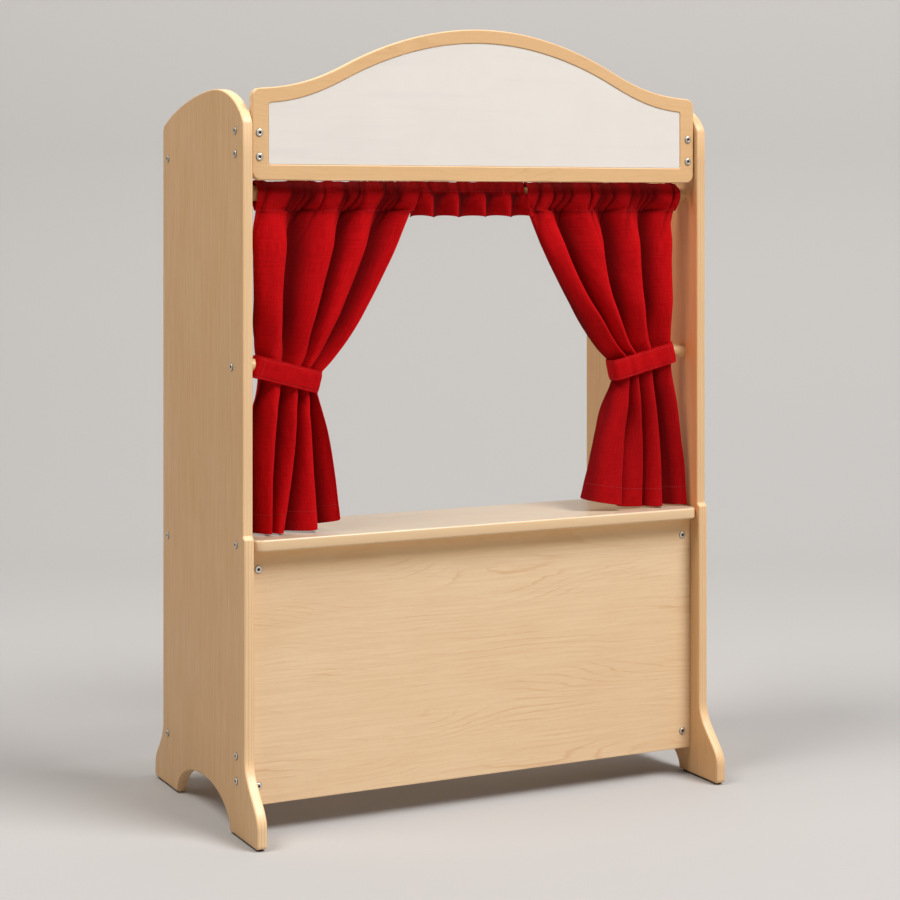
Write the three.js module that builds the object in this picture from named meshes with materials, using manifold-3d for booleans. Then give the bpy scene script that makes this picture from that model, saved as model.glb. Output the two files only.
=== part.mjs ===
// A puppet theater stand: two shaped plywood sides, a counter shelf over a closed front,
// a crowned header with a marker board, and red curtains tied back under a dowel rod.
// Millimetres. X runs to the right, Y to the rear, Z up. Heights are above the floor.
// Inside the stand Y starts at the sides' upper front edge. The group is centred at the end.
import * as THREE from 'three';
import { mergeVertices } from 'three/addons/utils/BufferGeometryUtils.js';
import Module from 'manifold-3d';

const wasm = await Module();
wasm.setup();

// Clearances that every piece shares.
const gap = { seat: 0.3, bore: 0.35, overrun: 2 };

const stand = { width: 870, ply: 18, edgeRound: 3 };

const side = {
  depth: 386,
  padThickness: 3,
  frontHeight: 1135,
  peakHeight: 1196,
  peakY: 135,
  rearShoulderHeight: 1147,
  rearShoulderWidth: 10,
  rearShoulderDrop: 16,
  frontStep: 6,
  frontStepHeight: 14,
  frontFlare: 57,
  frontFlareTop: 132,
  frontFlareBottom: 36,
  rearFlare: 42,
  rearFlareTop: 110,
  rearFlareBottom: 27,
  toeRound: 6,
  archFrontY: 58,
  archRearInset: 76,
  archHeight: 59,
};

const shelf = { top: 475.2, thickness: 19, depth: 188, cornerRound: 9, edgeRound: 3 };

const front = { faceY: 21, thickness: 12, bottom: 48.8, edgeRound: 1 };

const header = {
  faceY: 7.8,
  thickness: 15,
  bottom: 1045.7,
  endTop: 1193,
  crownTop: 1300,
  endGap: 2,
  cornerRound: 15,
  bandSide: 28,
  bandBottom: 25.5,
  bandTop: 23.5,
  windowRound: 6,
  edgeRound: 2,
  boardRecess: 1.2,
  boardThickness: 3,
};

// The header's top edge, as shares of its half width and of its rise above the ends.
const crownShares = {
  end: [0.964, 0],
  footPull: [0.795, 0.04],
  waistPull: [0.699, 0.2],
  waist: [0.581, 0.44],
  shoulderPull: [0.446, 0.7],
  topPull: [0.241, 1],
};

const cleat = { width: 30, thickness: 18 };
const headerCleat = { lowerGap: 14.3, upperGap: 43 };
const panelCleat = { lowerGap: 13.2, upperGap: 16.2 };

const rail = { height: 60, thickness: 18, rearInset: 18, edgeRound: 2 };

// A rail's place: how far the top one is over the header's lower edge, the middle one under
// the shelf and the bottom one over the floor, and how far its screws are under its top.
const railPlace = { topRise: 71.3, middleDrop: 11.2, bottomHeight: 123 };
const railScrewDrop = { top: 30, middle: 10, bottom: 30 };
const railPin = { radius: 4, length: 30, depthInSide: 10, apart: 20 };

const rod = { radius: 12.5, y: 47.6, drop: 20.7, socketDepth: 9, endGap: 1, clearance: 0.3 };

const peg = { radius: 12, y: rod.y, height: 747.6, reach: 26, tipRound: 4 };

const screw = { headRadius: 5.8, headHeight: 2.2, rimHeight: 0.7, shankRadius: 2.2, tip: 3 };
const socket = { radius: 2.3, depth: 1.3 };
const screwLength = { cleat: 28, board: 43, peg: 36, header: 23, front: 27 };

const pad = { width: 12, inset: 7, cornerRound: 4 };

// Where the screws sit on the sides' outer faces. The rises are from the lower edges of the
// header and the front panel.
const sideScrew = {
  headerInset: 9.2,
  headerUpperRise: 79.3,
  headerLowerRise: 42.3,
  shelfInset: 34,
  panelUpperRise: 81.2,
  panelLowerRise: 41.2,
};

// Where the screws sit on the header and the front panel: their inset from a side's face,
// and how far they are over the board's lower edge or under its top.
const headerScrew = { inset: 14, upperRise: 75.8, lowerRise: 37.3 };
const panelScrew = { inset: 17, upperDrop: 31.2, lowerRise: 30.2 };

const curtain = {
  headingRise: 21,
  stitchDrop: 27,
  bandSlope: 29,
  waistGap: 36,
  hemGap: 2.3,
  hemCornerRise: 18,
  cloth: 4,
  pocketWall: 3,
  folds: 3.5,
  firstRidgeShare: 0.12,
  headingFold: 1.5,
  drapeFold: 14,
  waistFold: 11,
  hemFold: 15,
};

// Each curtain hangs in its own way. The outer gaps are from the side's inner face, the inner
// gaps from the valance, and the widths from the cloth's outer edge there.
const hang = {
  left: {
    outerGap: 21,
    topInnerGap: 7,
    stitchInnerGap: 21,
    waistTopWidth: 105,
    waistBottomWidth: 96,
    hemOuterGap: 18,
    hemWidth: 155,
    hemForward: 2,
  },
  right: {
    outerGap: 13,
    topInnerGap: 5,
    stitchInnerGap: 13,
    waistTopWidth: 119,
    waistBottomWidth: 110,
    hemOuterGap: 8,
    hemWidth: 193,
    hemForward: 12,
  },
};

const band = { height: 36, thickness: 3, round: 6, outerGap: 18, innerGap: 2, sideGap: 0.7 };

const valance = {
  halfWidth: 96,
  hemFlare: 7,
  stitchDrop: 19,
  drop: 39,
  folds: 4.5,
  fold: 8,
  hemWave: 2,
};

// Facets round a circle, steps along a curve and columns across a cloth.
const counts = {
  rodSides: 20,
  pegSides: 16,
  boreSides: 12,
  screwSides: 10,
  curveSteps: 8,
  edgeSteps: 1,
  curtainColumns: 28,
  valanceColumns: 30,
};

const halfWidth = stand.width / 2;
const innerX = halfWidth - stand.ply;
const shelfBottom = shelf.top - shelf.thickness;
const lowerFrontY = -side.frontStep;
const headerRearY = header.faceY + header.thickness;
const frontRearY = front.faceY + front.thickness;
const archRearY = side.depth - side.archRearInset;
const railFrontY = side.depth - rail.rearInset - rail.thickness;
const railTops = {
  top: header.bottom + railPlace.topRise,
  middle: shelfBottom - railPlace.middleDrop,
  bottom: railPlace.bottomHeight,
};
const rodHeight = header.bottom - rod.drop;
const curtainTop = rodHeight + curtain.headingRise;
const curtainStitch = rodHeight - curtain.stitchDrop;
const valanceStitch = rodHeight - valance.stitchDrop;
const waistOuterX = innerX - curtain.waistGap;
const bandInnerHeight = peg.height - curtain.bandSlope;

const maple = new THREE.Color(0.72, 0.56, 0.36);
const paleMaple = new THREE.Color(0.76, 0.6, 0.4);
const birch = new THREE.Color(0.68, 0.5, 0.3);
const red = new THREE.Color(0.5, 0.01, 0.025);
const boardWhite = new THREE.Color(0.85, 0.83, 0.79);
const steel = new THREE.Color(0.72, 0.72, 0.7);
const rubber = new THREE.Color(0.05, 0.045, 0.04);

const theater = new THREE.Group();

// Adds one named piece to the stand with a material of its own.
function addPiece(name, geometry, color, roughness, metalness = 0) {
  const material = new THREE.MeshStandardMaterial({ color, roughness, metalness });
  const mesh = new THREE.Mesh(geometry, material);
  mesh.name = name;
  theater.add(mesh);
}

// Turns a closed geometry into a solid for cutting.
function toSolid(geometry) {
  const plain = geometry.clone();
  plain.deleteAttribute('normal');
  plain.deleteAttribute('uv');
  const merged = mergeVertices(plain);
  const vertProperties = new Float32Array(merged.attributes.position.array);
  const triVerts = new Uint32Array(merged.index.array);
  return new wasm.Manifold(new wasm.Mesh({ numProp: 3, vertProperties, triVerts }));
}

// Turns a cut solid back into a geometry.
function toGeometry(solid) {
  const mesh = solid.getMesh();
  const geometry = new THREE.BufferGeometry();
  geometry.setAttribute('position', new THREE.BufferAttribute(mesh.vertProperties, 3));
  geometry.setIndex(new THREE.BufferAttribute(mesh.triVerts, 1));
  geometry.computeVertexNormals();
  return geometry;
}

function cut(geometry, cutters) {
  let solid = toSolid(geometry);
  for (const cutter of cutters) {
    solid = solid.subtract(cutter);
  }
  return toGeometry(solid);
}

// A board: an outline drawn in a plane, given its thickness and eased edges.
function boardGeometry(shape, thickness, round) {
  return new THREE.ExtrudeGeometry(shape, {
    depth: thickness - 2 * round,
    bevelThickness: round,
    bevelSize: round,
    bevelOffset: -round,
    bevelSegments: counts.edgeSteps,
    curveSegments: counts.curveSteps,
  }).translate(0, 0, round);
}

// Turns a board so that its outline stands in the Y-Z plane and its thickness runs along +X.
function standAcross(geometry) {
  const along = new THREE.Vector3(0, 1, 0);
  const up = new THREE.Vector3(0, 0, 1);
  const through = new THREE.Vector3(1, 0, 0);
  return geometry.applyMatrix4(new THREE.Matrix4().makeBasis(along, up, through));
}

// Turns a board so that its outline stands in the X-Z plane and its thickness runs along +Y.
function standFacing(geometry, faceY, thickness) {
  return geometry.rotateX(Math.PI / 2).translate(0, faceY + thickness, 0);
}

// A rectangle with equal corner rounds, from its low corner.
function roundedRectangle(x, y, width, height, round) {
  const shape = new THREE.Shape();
  shape.moveTo(x + round, y);
  shape.lineTo(x + width - round, y);
  shape.absarc(x + width - round, y + round, round, -Math.PI / 2, 0, false);
  shape.lineTo(x + width, y + height - round);
  shape.absarc(x + width - round, y + height - round, round, 0, Math.PI / 2, false);
  shape.lineTo(x + round, y + height);
  shape.absarc(x + round, y + height - round, round, Math.PI / 2, Math.PI, false);
  shape.lineTo(x, y + round);
  shape.absarc(x + round, y + round, round, Math.PI, 1.5 * Math.PI, false);
  return shape;
}

// A plain block with eased long edges, lying along X between two ends.
function barGeometry(fromX, toX, frontY, thickness, bottom, height, round) {
  const shape = new THREE.Shape();
  shape.moveTo(frontY + round, bottom);
  shape.lineTo(frontY + thickness - round, bottom);
  shape.lineTo(frontY + thickness, bottom + round);
  shape.lineTo(frontY + thickness, bottom + height - round);
  shape.lineTo(frontY + thickness - round, bottom + height);
  shape.lineTo(frontY + round, bottom + height);
  shape.lineTo(frontY, bottom + height - round);
  shape.lineTo(frontY, bottom + round);
  const solid = new THREE.ExtrudeGeometry(shape, { depth: toX - fromX, bevelEnabled: false });
  return standAcross(solid).translate(fromX, 0, 0);
}

// A round rod along X, from one end to the other.
function roundAlongX(radius, fromX, toX, y, z, sides) {
  const geometry = new THREE.CylinderGeometry(radius, radius, toX - fromX, sides);
  return geometry.rotateZ(Math.PI / 2).translate((fromX + toX) / 2, y, z);
}

function roundAlongY(radius, fromY, toY, x, z, sides) {
  const geometry = new THREE.CylinderGeometry(radius, radius, toY - fromY, sides);
  return geometry.translate(x, (fromY + toY) / 2, z);
}

// Every screw: where its head seats, which way the head faces and how far the shank goes in.
function listScrews() {
  const screws = [];
  for (const [word, sign] of [['left', -1], ['right', 1]]) {
    const across = (name, y, z, length) =>
      screws.push({ name: `side_screw_${word}_${name}`, axis: 'x', sign, y, z, length });
    const panelY = front.faceY + front.thickness / 2;
    const railY = railFrontY + rail.thickness / 2;
    const headerY = headerRearY + sideScrew.headerInset;
    const shelfY = lowerFrontY + sideScrew.shelfInset;
    const overHeader = (rise) => header.bottom + rise;
    const overPanel = (rise) => front.bottom + rise;
    across('header_upper', headerY, overHeader(sideScrew.headerUpperRise), screwLength.cleat);
    across('header_lower', headerY, overHeader(sideScrew.headerLowerRise), screwLength.cleat);
    across('peg', peg.y, peg.height, screwLength.peg);
    across('shelf', shelfY, shelf.top - shelf.thickness / 2, screwLength.board);
    across('panel_upper', panelY, overPanel(sideScrew.panelUpperRise), screwLength.board);
    across('panel_lower', panelY, overPanel(sideScrew.panelLowerRise), screwLength.board);
    for (const [level, top] of Object.entries(railTops)) {
      across(`rail_${level}`, railY, top - railScrewDrop[level], screwLength.board);
    }
    const facing = (name, x, y, z, length) =>
      screws.push({ name: `${name}_${word}`, axis: 'y', x: sign * x, y, z, length });
    const headerX = innerX - headerScrew.inset;
    const panelX = innerX - panelScrew.inset;
    const upper = overHeader(headerScrew.upperRise);
    const lower = overHeader(headerScrew.lowerRise);
    const panelUpper = shelfBottom - panelScrew.upperDrop;
    const panelLower = overPanel(panelScrew.lowerRise);
    facing('header_screw_upper', headerX, header.faceY, upper, screwLength.header);
    facing('header_screw_lower', headerX, header.faceY, lower, screwLength.header);
    facing('panel_screw_upper', panelX, front.faceY, panelUpper, screwLength.front);
    facing('panel_screw_lower', panelX, front.faceY, panelLower, screwLength.front);
  }
  return screws;
}

// One screw, standing on its shank along +Y, with its head's seat at zero.
function screwGeometry(length) {
  const top = screw.headHeight;
  const profile = [
    [0, -length],
    [screw.shankRadius, screw.tip - length],
    [screw.shankRadius, 0],
    [screw.headRadius, 0],
    [screw.headRadius, screw.rimHeight],
    [socket.radius, top],
    [socket.radius, top - socket.depth],
    [0, top - socket.depth],
  ].map(([r, y]) => new THREE.Vector2(r, y));
  return new THREE.LatheGeometry(profile, counts.screwSides);
}

function addScrew(item) {
  const geometry = screwGeometry(item.length);
  if (item.axis === 'x') {
    geometry.rotateZ(-item.sign * Math.PI / 2).translate(item.sign * halfWidth, item.y, item.z);
  } else {
    geometry.rotateX(Math.PI).translate(item.x, item.y, item.z);
  }
  addPiece(item.name, geometry, steel, 0.3, 0.9);
}

// The bore that a screw's shank runs in.
function screwBore(item) {
  const radius = screw.shankRadius + gap.bore;
  const depth = item.length + gap.bore;
  if (item.axis === 'x') {
    const ends = [item.sign * (halfWidth + gap.overrun), item.sign * (halfWidth - depth)];
    const [fromX, toX] = ends.sort((a, b) => a - b);
    return toSolid(roundAlongX(radius, fromX, toX, item.y, item.z, counts.boreSides));
  }
  const fromY = item.y - gap.overrun;
  return toSolid(roundAlongY(radius, fromY, item.y + depth, item.x, item.z, counts.boreSides));
}

const screws = listScrews();
const bores = screws.map(screwBore);

// A side's outline in Y and Z: an arched foot with flared toes, and a crown that leans forward.
function sideShape() {
  const base = side.padThickness;
  const toeY = lowerFrontY - side.frontFlare;
  const heelY = side.depth + side.rearFlare;
  const archY = (side.archFrontY + archRearY) / 2;
  const archHalf = (archRearY - side.archFrontY) / 2;
  const frontRise = side.frontFlareTop - side.frontFlareBottom;
  const rearRise = side.rearFlareTop - side.rearFlareBottom;
  const stepTop = shelf.top + side.frontStepHeight;
  const crownRise = side.peakHeight - side.rearShoulderHeight;
  const frontRun = side.peakY;
  const rearRun = side.depth - side.rearShoulderWidth - side.peakY;
  const shape = new THREE.Shape();
  shape.moveTo(toeY + side.toeRound, base);
  shape.lineTo(side.archFrontY, base);
  shape.absellipse(archY, base, archHalf, side.archHeight, Math.PI, 0, true);
  shape.lineTo(heelY - side.toeRound, base);
  shape.quadraticCurveTo(heelY, base, heelY, base + side.toeRound);
  shape.lineTo(heelY, side.rearFlareBottom);
  shape.bezierCurveTo(
    heelY, side.rearFlareBottom + rearRise / 3,
    side.depth, side.rearFlareTop - rearRise / 2,
    side.depth, side.rearFlareTop);
  shape.lineTo(side.depth, side.rearShoulderHeight - side.rearShoulderDrop);
  shape.quadraticCurveTo(
    side.depth, side.rearShoulderHeight - side.rearShoulderDrop / 4,
    side.depth - side.rearShoulderWidth, side.rearShoulderHeight);
  shape.bezierCurveTo(
    side.peakY + 0.73 * rearRun, side.rearShoulderHeight + 0.63 * crownRise,
    side.peakY + 0.27 * rearRun, side.peakHeight,
    side.peakY, side.peakHeight);
  shape.bezierCurveTo(
    0.45 * frontRun, side.peakHeight,
    0.04 * frontRun, side.frontHeight + 0.38 * (side.peakHeight - side.frontHeight),
    0, side.frontHeight);
  shape.lineTo(0, stepTop);
  shape.bezierCurveTo(
    0, stepTop - side.frontStepHeight / 2,
    lowerFrontY, shelf.top + side.frontStepHeight / 2,
    lowerFrontY, shelf.top);
  shape.lineTo(lowerFrontY, side.frontFlareTop);
  shape.bezierCurveTo(
    lowerFrontY, side.frontFlareTop - 0.42 * frontRise,
    toeY, side.frontFlareBottom + 0.32 * frontRise,
    toeY, side.frontFlareBottom);
  shape.lineTo(toeY, base + side.toeRound);
  shape.quadraticCurveTo(toeY, base, toeY + side.toeRound, base);
  return shape;
}

// The blind pocket in a side that one end of the rod turns in.
function rodSocket(sign) {
  const mouth = innerX - gap.overrun;
  const bottom = innerX + rod.socketDepth;
  const [fromX, toX] = [sign * mouth, sign * bottom].sort((a, b) => a - b);
  const radius = rod.radius + rod.clearance;
  return toSolid(roundAlongX(radius, fromX, toX, rod.y, rodHeight, counts.rodSides));
}

// The pins that stop each rear rail from turning round its screw.
function railPins() {
  const pins = [];
  for (const [word, sign] of [['left', -1], ['right', 1]]) {
    for (const [level, top] of Object.entries(railTops)) {
      const z = top - railScrewDrop[level] - railPin.apart;
      pins.push({ name: `rail_pin_${level}_${word}`, sign, z });
    }
  }
  return pins;
}

function pinGeometry(pin, radius, slack) {
  const outer = innerX + railPin.depthInSide + slack;
  const inner = innerX + railPin.depthInSide - railPin.length - slack;
  const [fromX, toX] = [pin.sign * inner, pin.sign * outer].sort((a, b) => a - b);
  const y = railFrontY + rail.thickness / 2;
  return roundAlongX(radius, fromX, toX, y, pin.z, counts.boreSides);
}

const pins = railPins();
const pinBores = pins.map((pin) => toSolid(pinGeometry(pin, railPin.radius + gap.seat, gap.seat)));

function addSides() {
  for (const [word, sign] of [['left', -1], ['right', 1]]) {
    const fromX = sign < 0 ? -halfWidth : innerX;
    const board = standAcross(boardGeometry(sideShape(), stand.ply, stand.edgeRound));
    board.translate(fromX, 0, 0);
    const cutters = [...bores, ...pinBores, rodSocket(sign)];
    addPiece(`side_panel_${word}`, cut(board, cutters), maple, 0.5);
  }
}

// The feet stand on thin rubber pads.
function addPads() {
  const toeY = lowerFrontY - side.frontFlare;
  const heelY = side.depth + side.rearFlare;
  const feet = [
    ['front', toeY + pad.inset, side.archFrontY - pad.inset],
    ['rear', archRearY + pad.inset, heelY - pad.inset],
  ];
  for (const [word, sign] of [['left', -1], ['right', 1]]) {
    for (const [end, fromY, toY] of feet) {
      const fromX = sign * (innerX + stand.ply / 2) - pad.width / 2;
      const shape = roundedRectangle(fromX, fromY, pad.width, toY - fromY, pad.cornerRound);
      const geometry = new THREE.ExtrudeGeometry(shape, {
        depth: side.padThickness,
        bevelEnabled: false,
        curveSegments: 2,
      });
      addPiece(`foot_pad_${end}_${word}`, geometry, rubber, 0.9);
    }
  }
}

function addShelf() {
  const half = innerX - gap.seat;
  const width = 2 * half;
  const shape = roundedRectangle(-half, lowerFrontY, width, shelf.depth, shelf.cornerRound);
  const board = boardGeometry(shape, shelf.thickness, shelf.edgeRound);
  board.translate(0, 0, shelfBottom);
  addPiece('counter_shelf', cut(board, bores), paleMaple, 0.4);
}

function addFrontPanel() {
  const half = innerX - gap.seat;
  const height = shelfBottom - front.bottom;
  const shape = new THREE.Shape();
  shape.moveTo(-half, front.bottom);
  shape.lineTo(half, front.bottom);
  shape.lineTo(half, front.bottom + height);
  shape.lineTo(-half, front.bottom + height);
  const board = boardGeometry(shape, front.thickness, front.edgeRound);
  standFacing(board, front.faceY, front.thickness);
  addPiece('front_panel', cut(board, bores), paleMaple, 0.45);
}

// The header's outline, or its window's, drawn from its lower left corner.
function headerShape(half, bottom, drop, round) {
  const rise = header.crownTop - header.endTop;
  const outerHalf = innerX - header.endGap;
  const at = (sign, key) => {
    const [x, z] = crownShares[key];
    return [sign * x * outerHalf, header.endTop - drop + z * rise];
  };
  const shape = new THREE.Shape();
  const endHeight = header.endTop - drop;
  const endX = Math.min(crownShares.end[0] * outerHalf, half - round);
  shape.moveTo(-half + round, bottom);
  shape.lineTo(half - round, bottom);
  shape.quadraticCurveTo(half, bottom, half, bottom + round);
  shape.lineTo(half, endHeight - round);
  shape.quadraticCurveTo(half, endHeight, endX, endHeight);
  shape.bezierCurveTo(...at(1, 'footPull'), ...at(1, 'waistPull'), ...at(1, 'waist'));
  shape.bezierCurveTo(
    ...at(1, 'shoulderPull'), ...at(1, 'topPull'), 0, header.crownTop - drop);
  shape.bezierCurveTo(...at(-1, 'topPull'), ...at(-1, 'shoulderPull'), ...at(-1, 'waist'));
  shape.bezierCurveTo(...at(-1, 'waistPull'), ...at(-1, 'footPull'), -endX, endHeight);
  shape.quadraticCurveTo(-half, endHeight, -half, endHeight - round);
  shape.lineTo(-half, bottom + round);
  shape.quadraticCurveTo(-half, bottom, -half + round, bottom);
  return shape;
}

// The header is one board with a window. A white marker board fills the window, and a
// plywood backing closes it from behind.
function addHeader() {
  const half = innerX - header.endGap;
  const windowHalf = half - header.bandSide;
  const windowBottom = header.bottom + header.bandBottom;
  const fill = (inset) => headerShape(
    windowHalf - inset, windowBottom + inset, header.bandTop + inset, header.windowRound);
  const outline = headerShape(half, header.bottom, 0, header.cornerRound);
  outline.holes.push(fill(0));
  const frame = boardGeometry(outline, header.thickness, header.edgeRound);
  standFacing(frame, header.faceY, header.thickness);
  addPiece('header_frame', cut(frame, bores), paleMaple, 0.42);

  const plain = { bevelEnabled: false, curveSegments: counts.curveSteps };
  const loose = fill(gap.seat);
  const boardY = header.faceY + header.boardRecess;
  const board = new THREE.ExtrudeGeometry(loose, { ...plain, depth: header.boardThickness });
  standFacing(board, boardY, header.boardThickness);
  addPiece('marker_board', board, boardWhite, 0.25);

  const backingY = boardY + header.boardThickness;
  const backingThickness = headerRearY - backingY;
  const backing = new THREE.ExtrudeGeometry(loose, { ...plain, depth: backingThickness });
  standFacing(backing, backingY, backingThickness);
  addPiece('header_backing', backing, birch, 0.6);
}

// Battens inside the sides that the header and the front panel are screwed to.
function addCleats() {
  for (const [word, sign] of [['left', -1], ['right', 1]]) {
    const [fromX, toX] = [sign * innerX, sign * (innerX - cleat.width)].sort((a, b) => a - b);
    const upright = (rearOf, bottom, top) => {
      const height = top - bottom;
      const round = rail.edgeRound;
      return barGeometry(fromX, toX, rearOf, cleat.thickness, bottom, height, round);
    };
    const headerBottom = header.bottom + headerCleat.lowerGap;
    const headerTop = header.endTop - headerCleat.upperGap;
    const headerBar = upright(headerRearY, headerBottom, headerTop);
    addPiece(`header_cleat_${word}`, cut(headerBar, bores), birch, 0.6);
    const panelBottom = front.bottom + panelCleat.lowerGap;
    const panelTop = shelfBottom - panelCleat.upperGap;
    const panelBar = upright(frontRearY, panelBottom, panelTop);
    addPiece(`panel_cleat_${word}`, cut(panelBar, bores), birch, 0.6);
  }
}

// Three rails across the back hold the sides square.
function addRails() {
  const half = innerX - gap.seat;
  for (const [level, top] of Object.entries(railTops)) {
    const bar = barGeometry(
      -half, half, railFrontY, rail.thickness, top - rail.height, rail.height, rail.edgeRound);
    addPiece(`rear_rail_${level}`, cut(bar, [...bores, ...pinBores]), birch, 0.55);
  }
  for (const pin of pins) {
    addPiece(pin.name, pinGeometry(pin, railPin.radius, 0), birch, 0.7);
  }
}

function addRod() {
  const half = innerX + rod.socketDepth - rod.endGap;
  const geometry = roundAlongX(rod.radius, -half, half, rod.y, rodHeight, counts.rodSides);
  addPiece('curtain_rod', geometry, maple, 0.5);
}

// A peg is a short dowel with a rounded tip and a blind bore for its screw.
function addPegs() {
  const bore = screw.shankRadius + gap.bore;
  const depth = screwLength.peg - stand.ply + gap.bore;
  const shoulder = peg.reach - peg.tipRound;
  const profile = [
    [0, depth],
    [bore, depth],
    [bore, 0],
    [peg.radius, 0],
    [peg.radius, shoulder],
    [peg.radius - peg.tipRound * (1 - Math.SQRT1_2), shoulder + peg.tipRound * Math.SQRT1_2],
    [peg.radius - peg.tipRound, peg.reach],
    [0, peg.reach],
  ].map(([r, y]) => new THREE.Vector2(r, y));
  for (const [word, sign] of [['left', -1], ['right', 1]]) {
    const geometry = new THREE.LatheGeometry(profile, counts.pegSides);
    geometry.rotateZ(sign * Math.PI / 2).translate(sign * innerX, peg.y, peg.height);
    addPiece(`tieback_peg_${word}`, geometry, maple, 0.5);
  }
}

// A hanging cloth as one closed solid. place(across, row) gives a point of its middle
// surface and half its thickness there. X grows with across.
function clothGeometry(across, rows, place) {
  const points = [];
  const faces = [];
  const perLayer = (across + 1) * rows.length;
  for (const layer of [-1, 1]) {
    for (const row of rows) {
      for (let i = 0; i <= across; i += 1) {
        const at = place(i / across, row);
        points.push(at.x, at.y + layer * at.half, at.z);
      }
    }
  }
  const index = (layer, j, i) => layer * perLayer + j * (across + 1) + i;
  const quad = (a, b, c, d) => faces.push(a, b, c, a, c, d);
  const last = rows.length - 1;
  for (let j = 0; j < last; j += 1) {
    for (let i = 0; i < across; i += 1) {
      quad(index(0, j, i), index(0, j + 1, i), index(0, j + 1, i + 1), index(0, j, i + 1));
      quad(index(1, j, i), index(1, j, i + 1), index(1, j + 1, i + 1), index(1, j + 1, i));
    }
    quad(index(0, j, 0), index(1, j, 0), index(1, j + 1, 0), index(0, j + 1, 0));
    const e = across;
    quad(index(0, j, e), index(0, j + 1, e), index(1, j + 1, e), index(1, j, e));
  }
  for (let i = 0; i < across; i += 1) {
    quad(index(0, 0, i), index(0, 0, i + 1), index(1, 0, i + 1), index(1, 0, i));
    quad(index(0, last, i), index(1, last, i), index(1, last, i + 1), index(0, last, i + 1));
  }
  const geometry = new THREE.BufferGeometry();
  geometry.setAttribute('position', new THREE.Float32BufferAttribute(points, 3));
  geometry.setIndex(faces);
  return geometry;
}

// The rod's pocket along the top of a cloth: heights in shares of the pocket from its top,
// and the swell of its wall round the rod as a share of the rod's outer radius there.
const pocketShares = [[0, 0.15], [0.2, 0.8], [0.44, 1], [0.68, 0.84], [1, 0.12]];

function pocketRows(top, stitch) {
  const swell = rod.radius + gap.bore + curtain.pocketWall;
  return pocketShares.map(([down, width]) => ({
    zone: 'pocket',
    down,
    height: top + (stitch - top) * down,
    half: Math.max(width * swell, curtain.cloth / 2),
  }));
}

function rodTunnel(fromX, toX) {
  const radius = rod.radius + gap.bore + gap.seat / 2;
  return toSolid(roundAlongX(radius, fromX, toX, rod.y, rodHeight, counts.rodSides));
}

const mix = (a, b, share) => a + (b - a) * share;

// How far from the stand's middle a curtain's outer and inner edges are.
function curtainEdges(word) {
  const own = hang[word];
  const hemOuterX = innerX - own.hemOuterGap;
  return {
    outerX: innerX - own.outerGap,
    topInnerX: valance.halfWidth + own.topInnerGap,
    stitchInnerX: valance.halfWidth + own.stitchInnerGap,
    waistInnerTopX: waistOuterX - own.waistTopWidth,
    waistInnerBottomX: waistOuterX - own.waistBottomWidth,
    hemOuterX,
    hemInnerX: hemOuterX - own.hemWidth,
    hemForward: own.hemForward,
  };
}

// The rows of a curtain from its heading to its hem, as shares of each zone's height.
function curtainRows() {
  const rows = pocketRows(curtainTop, curtainStitch);
  for (const down of [0.2, 0.4, 0.6, 0.8]) {
    rows.push({ zone: 'drape', down });
  }
  rows.push({ zone: 'band', down: 0 });
  rows.push({ zone: 'band', down: 1 });
  for (const down of [0.2, 0.45, 0.72, 1]) {
    rows.push({ zone: 'skirt', down });
  }
  return rows;
}

// Where a row's outer and inner ends are, how deep its folds are, how far forward it hangs,
// and how its height runs between the two ends.
function curtainRow(row, edge) {
  const halfBand = band.height / 2;
  const { down } = row;
  if (row.zone === 'pocket') {
    return {
      outerX: edge.outerX,
      innerX: mix(edge.topInnerX, edge.stitchInnerX, down),
      outerZ: row.height,
      innerZ: row.height,
      fold: curtain.headingFold,
      forward: 0,
      half: row.half,
      lag: 1,
    };
  }
  const half = curtain.cloth / 2;
  const bandTop = [peg.height + halfBand, bandInnerHeight + halfBand];
  const bandFoot = [peg.height - halfBand, bandInnerHeight - halfBand];
  if (row.zone === 'drape') {
    return {
      outerX: mix(edge.outerX, waistOuterX, down ** 3),
      innerX: mix(edge.stitchInnerX, edge.waistInnerTopX, down ** 1.35),
      outerZ: mix(curtainStitch, bandTop[0], down),
      innerZ: mix(curtainStitch, bandTop[1], down),
      fold: mix(curtain.drapeFold, curtain.waistFold, down ** 2),
      forward: 0,
      half,
      lag: 1,
    };
  }
  if (row.zone === 'band') {
    return {
      outerX: waistOuterX,
      innerX: mix(edge.waistInnerTopX, edge.waistInnerBottomX, down),
      outerZ: mix(bandTop[0], bandFoot[0], down),
      innerZ: mix(bandTop[1], bandFoot[1], down),
      fold: curtain.waistFold,
      forward: 0,
      half,
      lag: 1,
    };
  }
  const hem = shelf.top + curtain.hemGap;
  return {
    outerX: mix(waistOuterX, edge.hemOuterX, down ** 0.6),
    innerX: mix(edge.waistInnerBottomX, edge.hemInnerX, down),
    outerZ: mix(bandFoot[0], hem, down),
    innerZ: mix(bandFoot[1], hem + curtain.hemCornerRise, down),
    fold: mix(curtain.waistFold, curtain.hemFold, down ** 0.5),
    forward: edge.hemForward * down,
    half,
    lag: mix(1, 6, down ** 2),
  };
}

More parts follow.
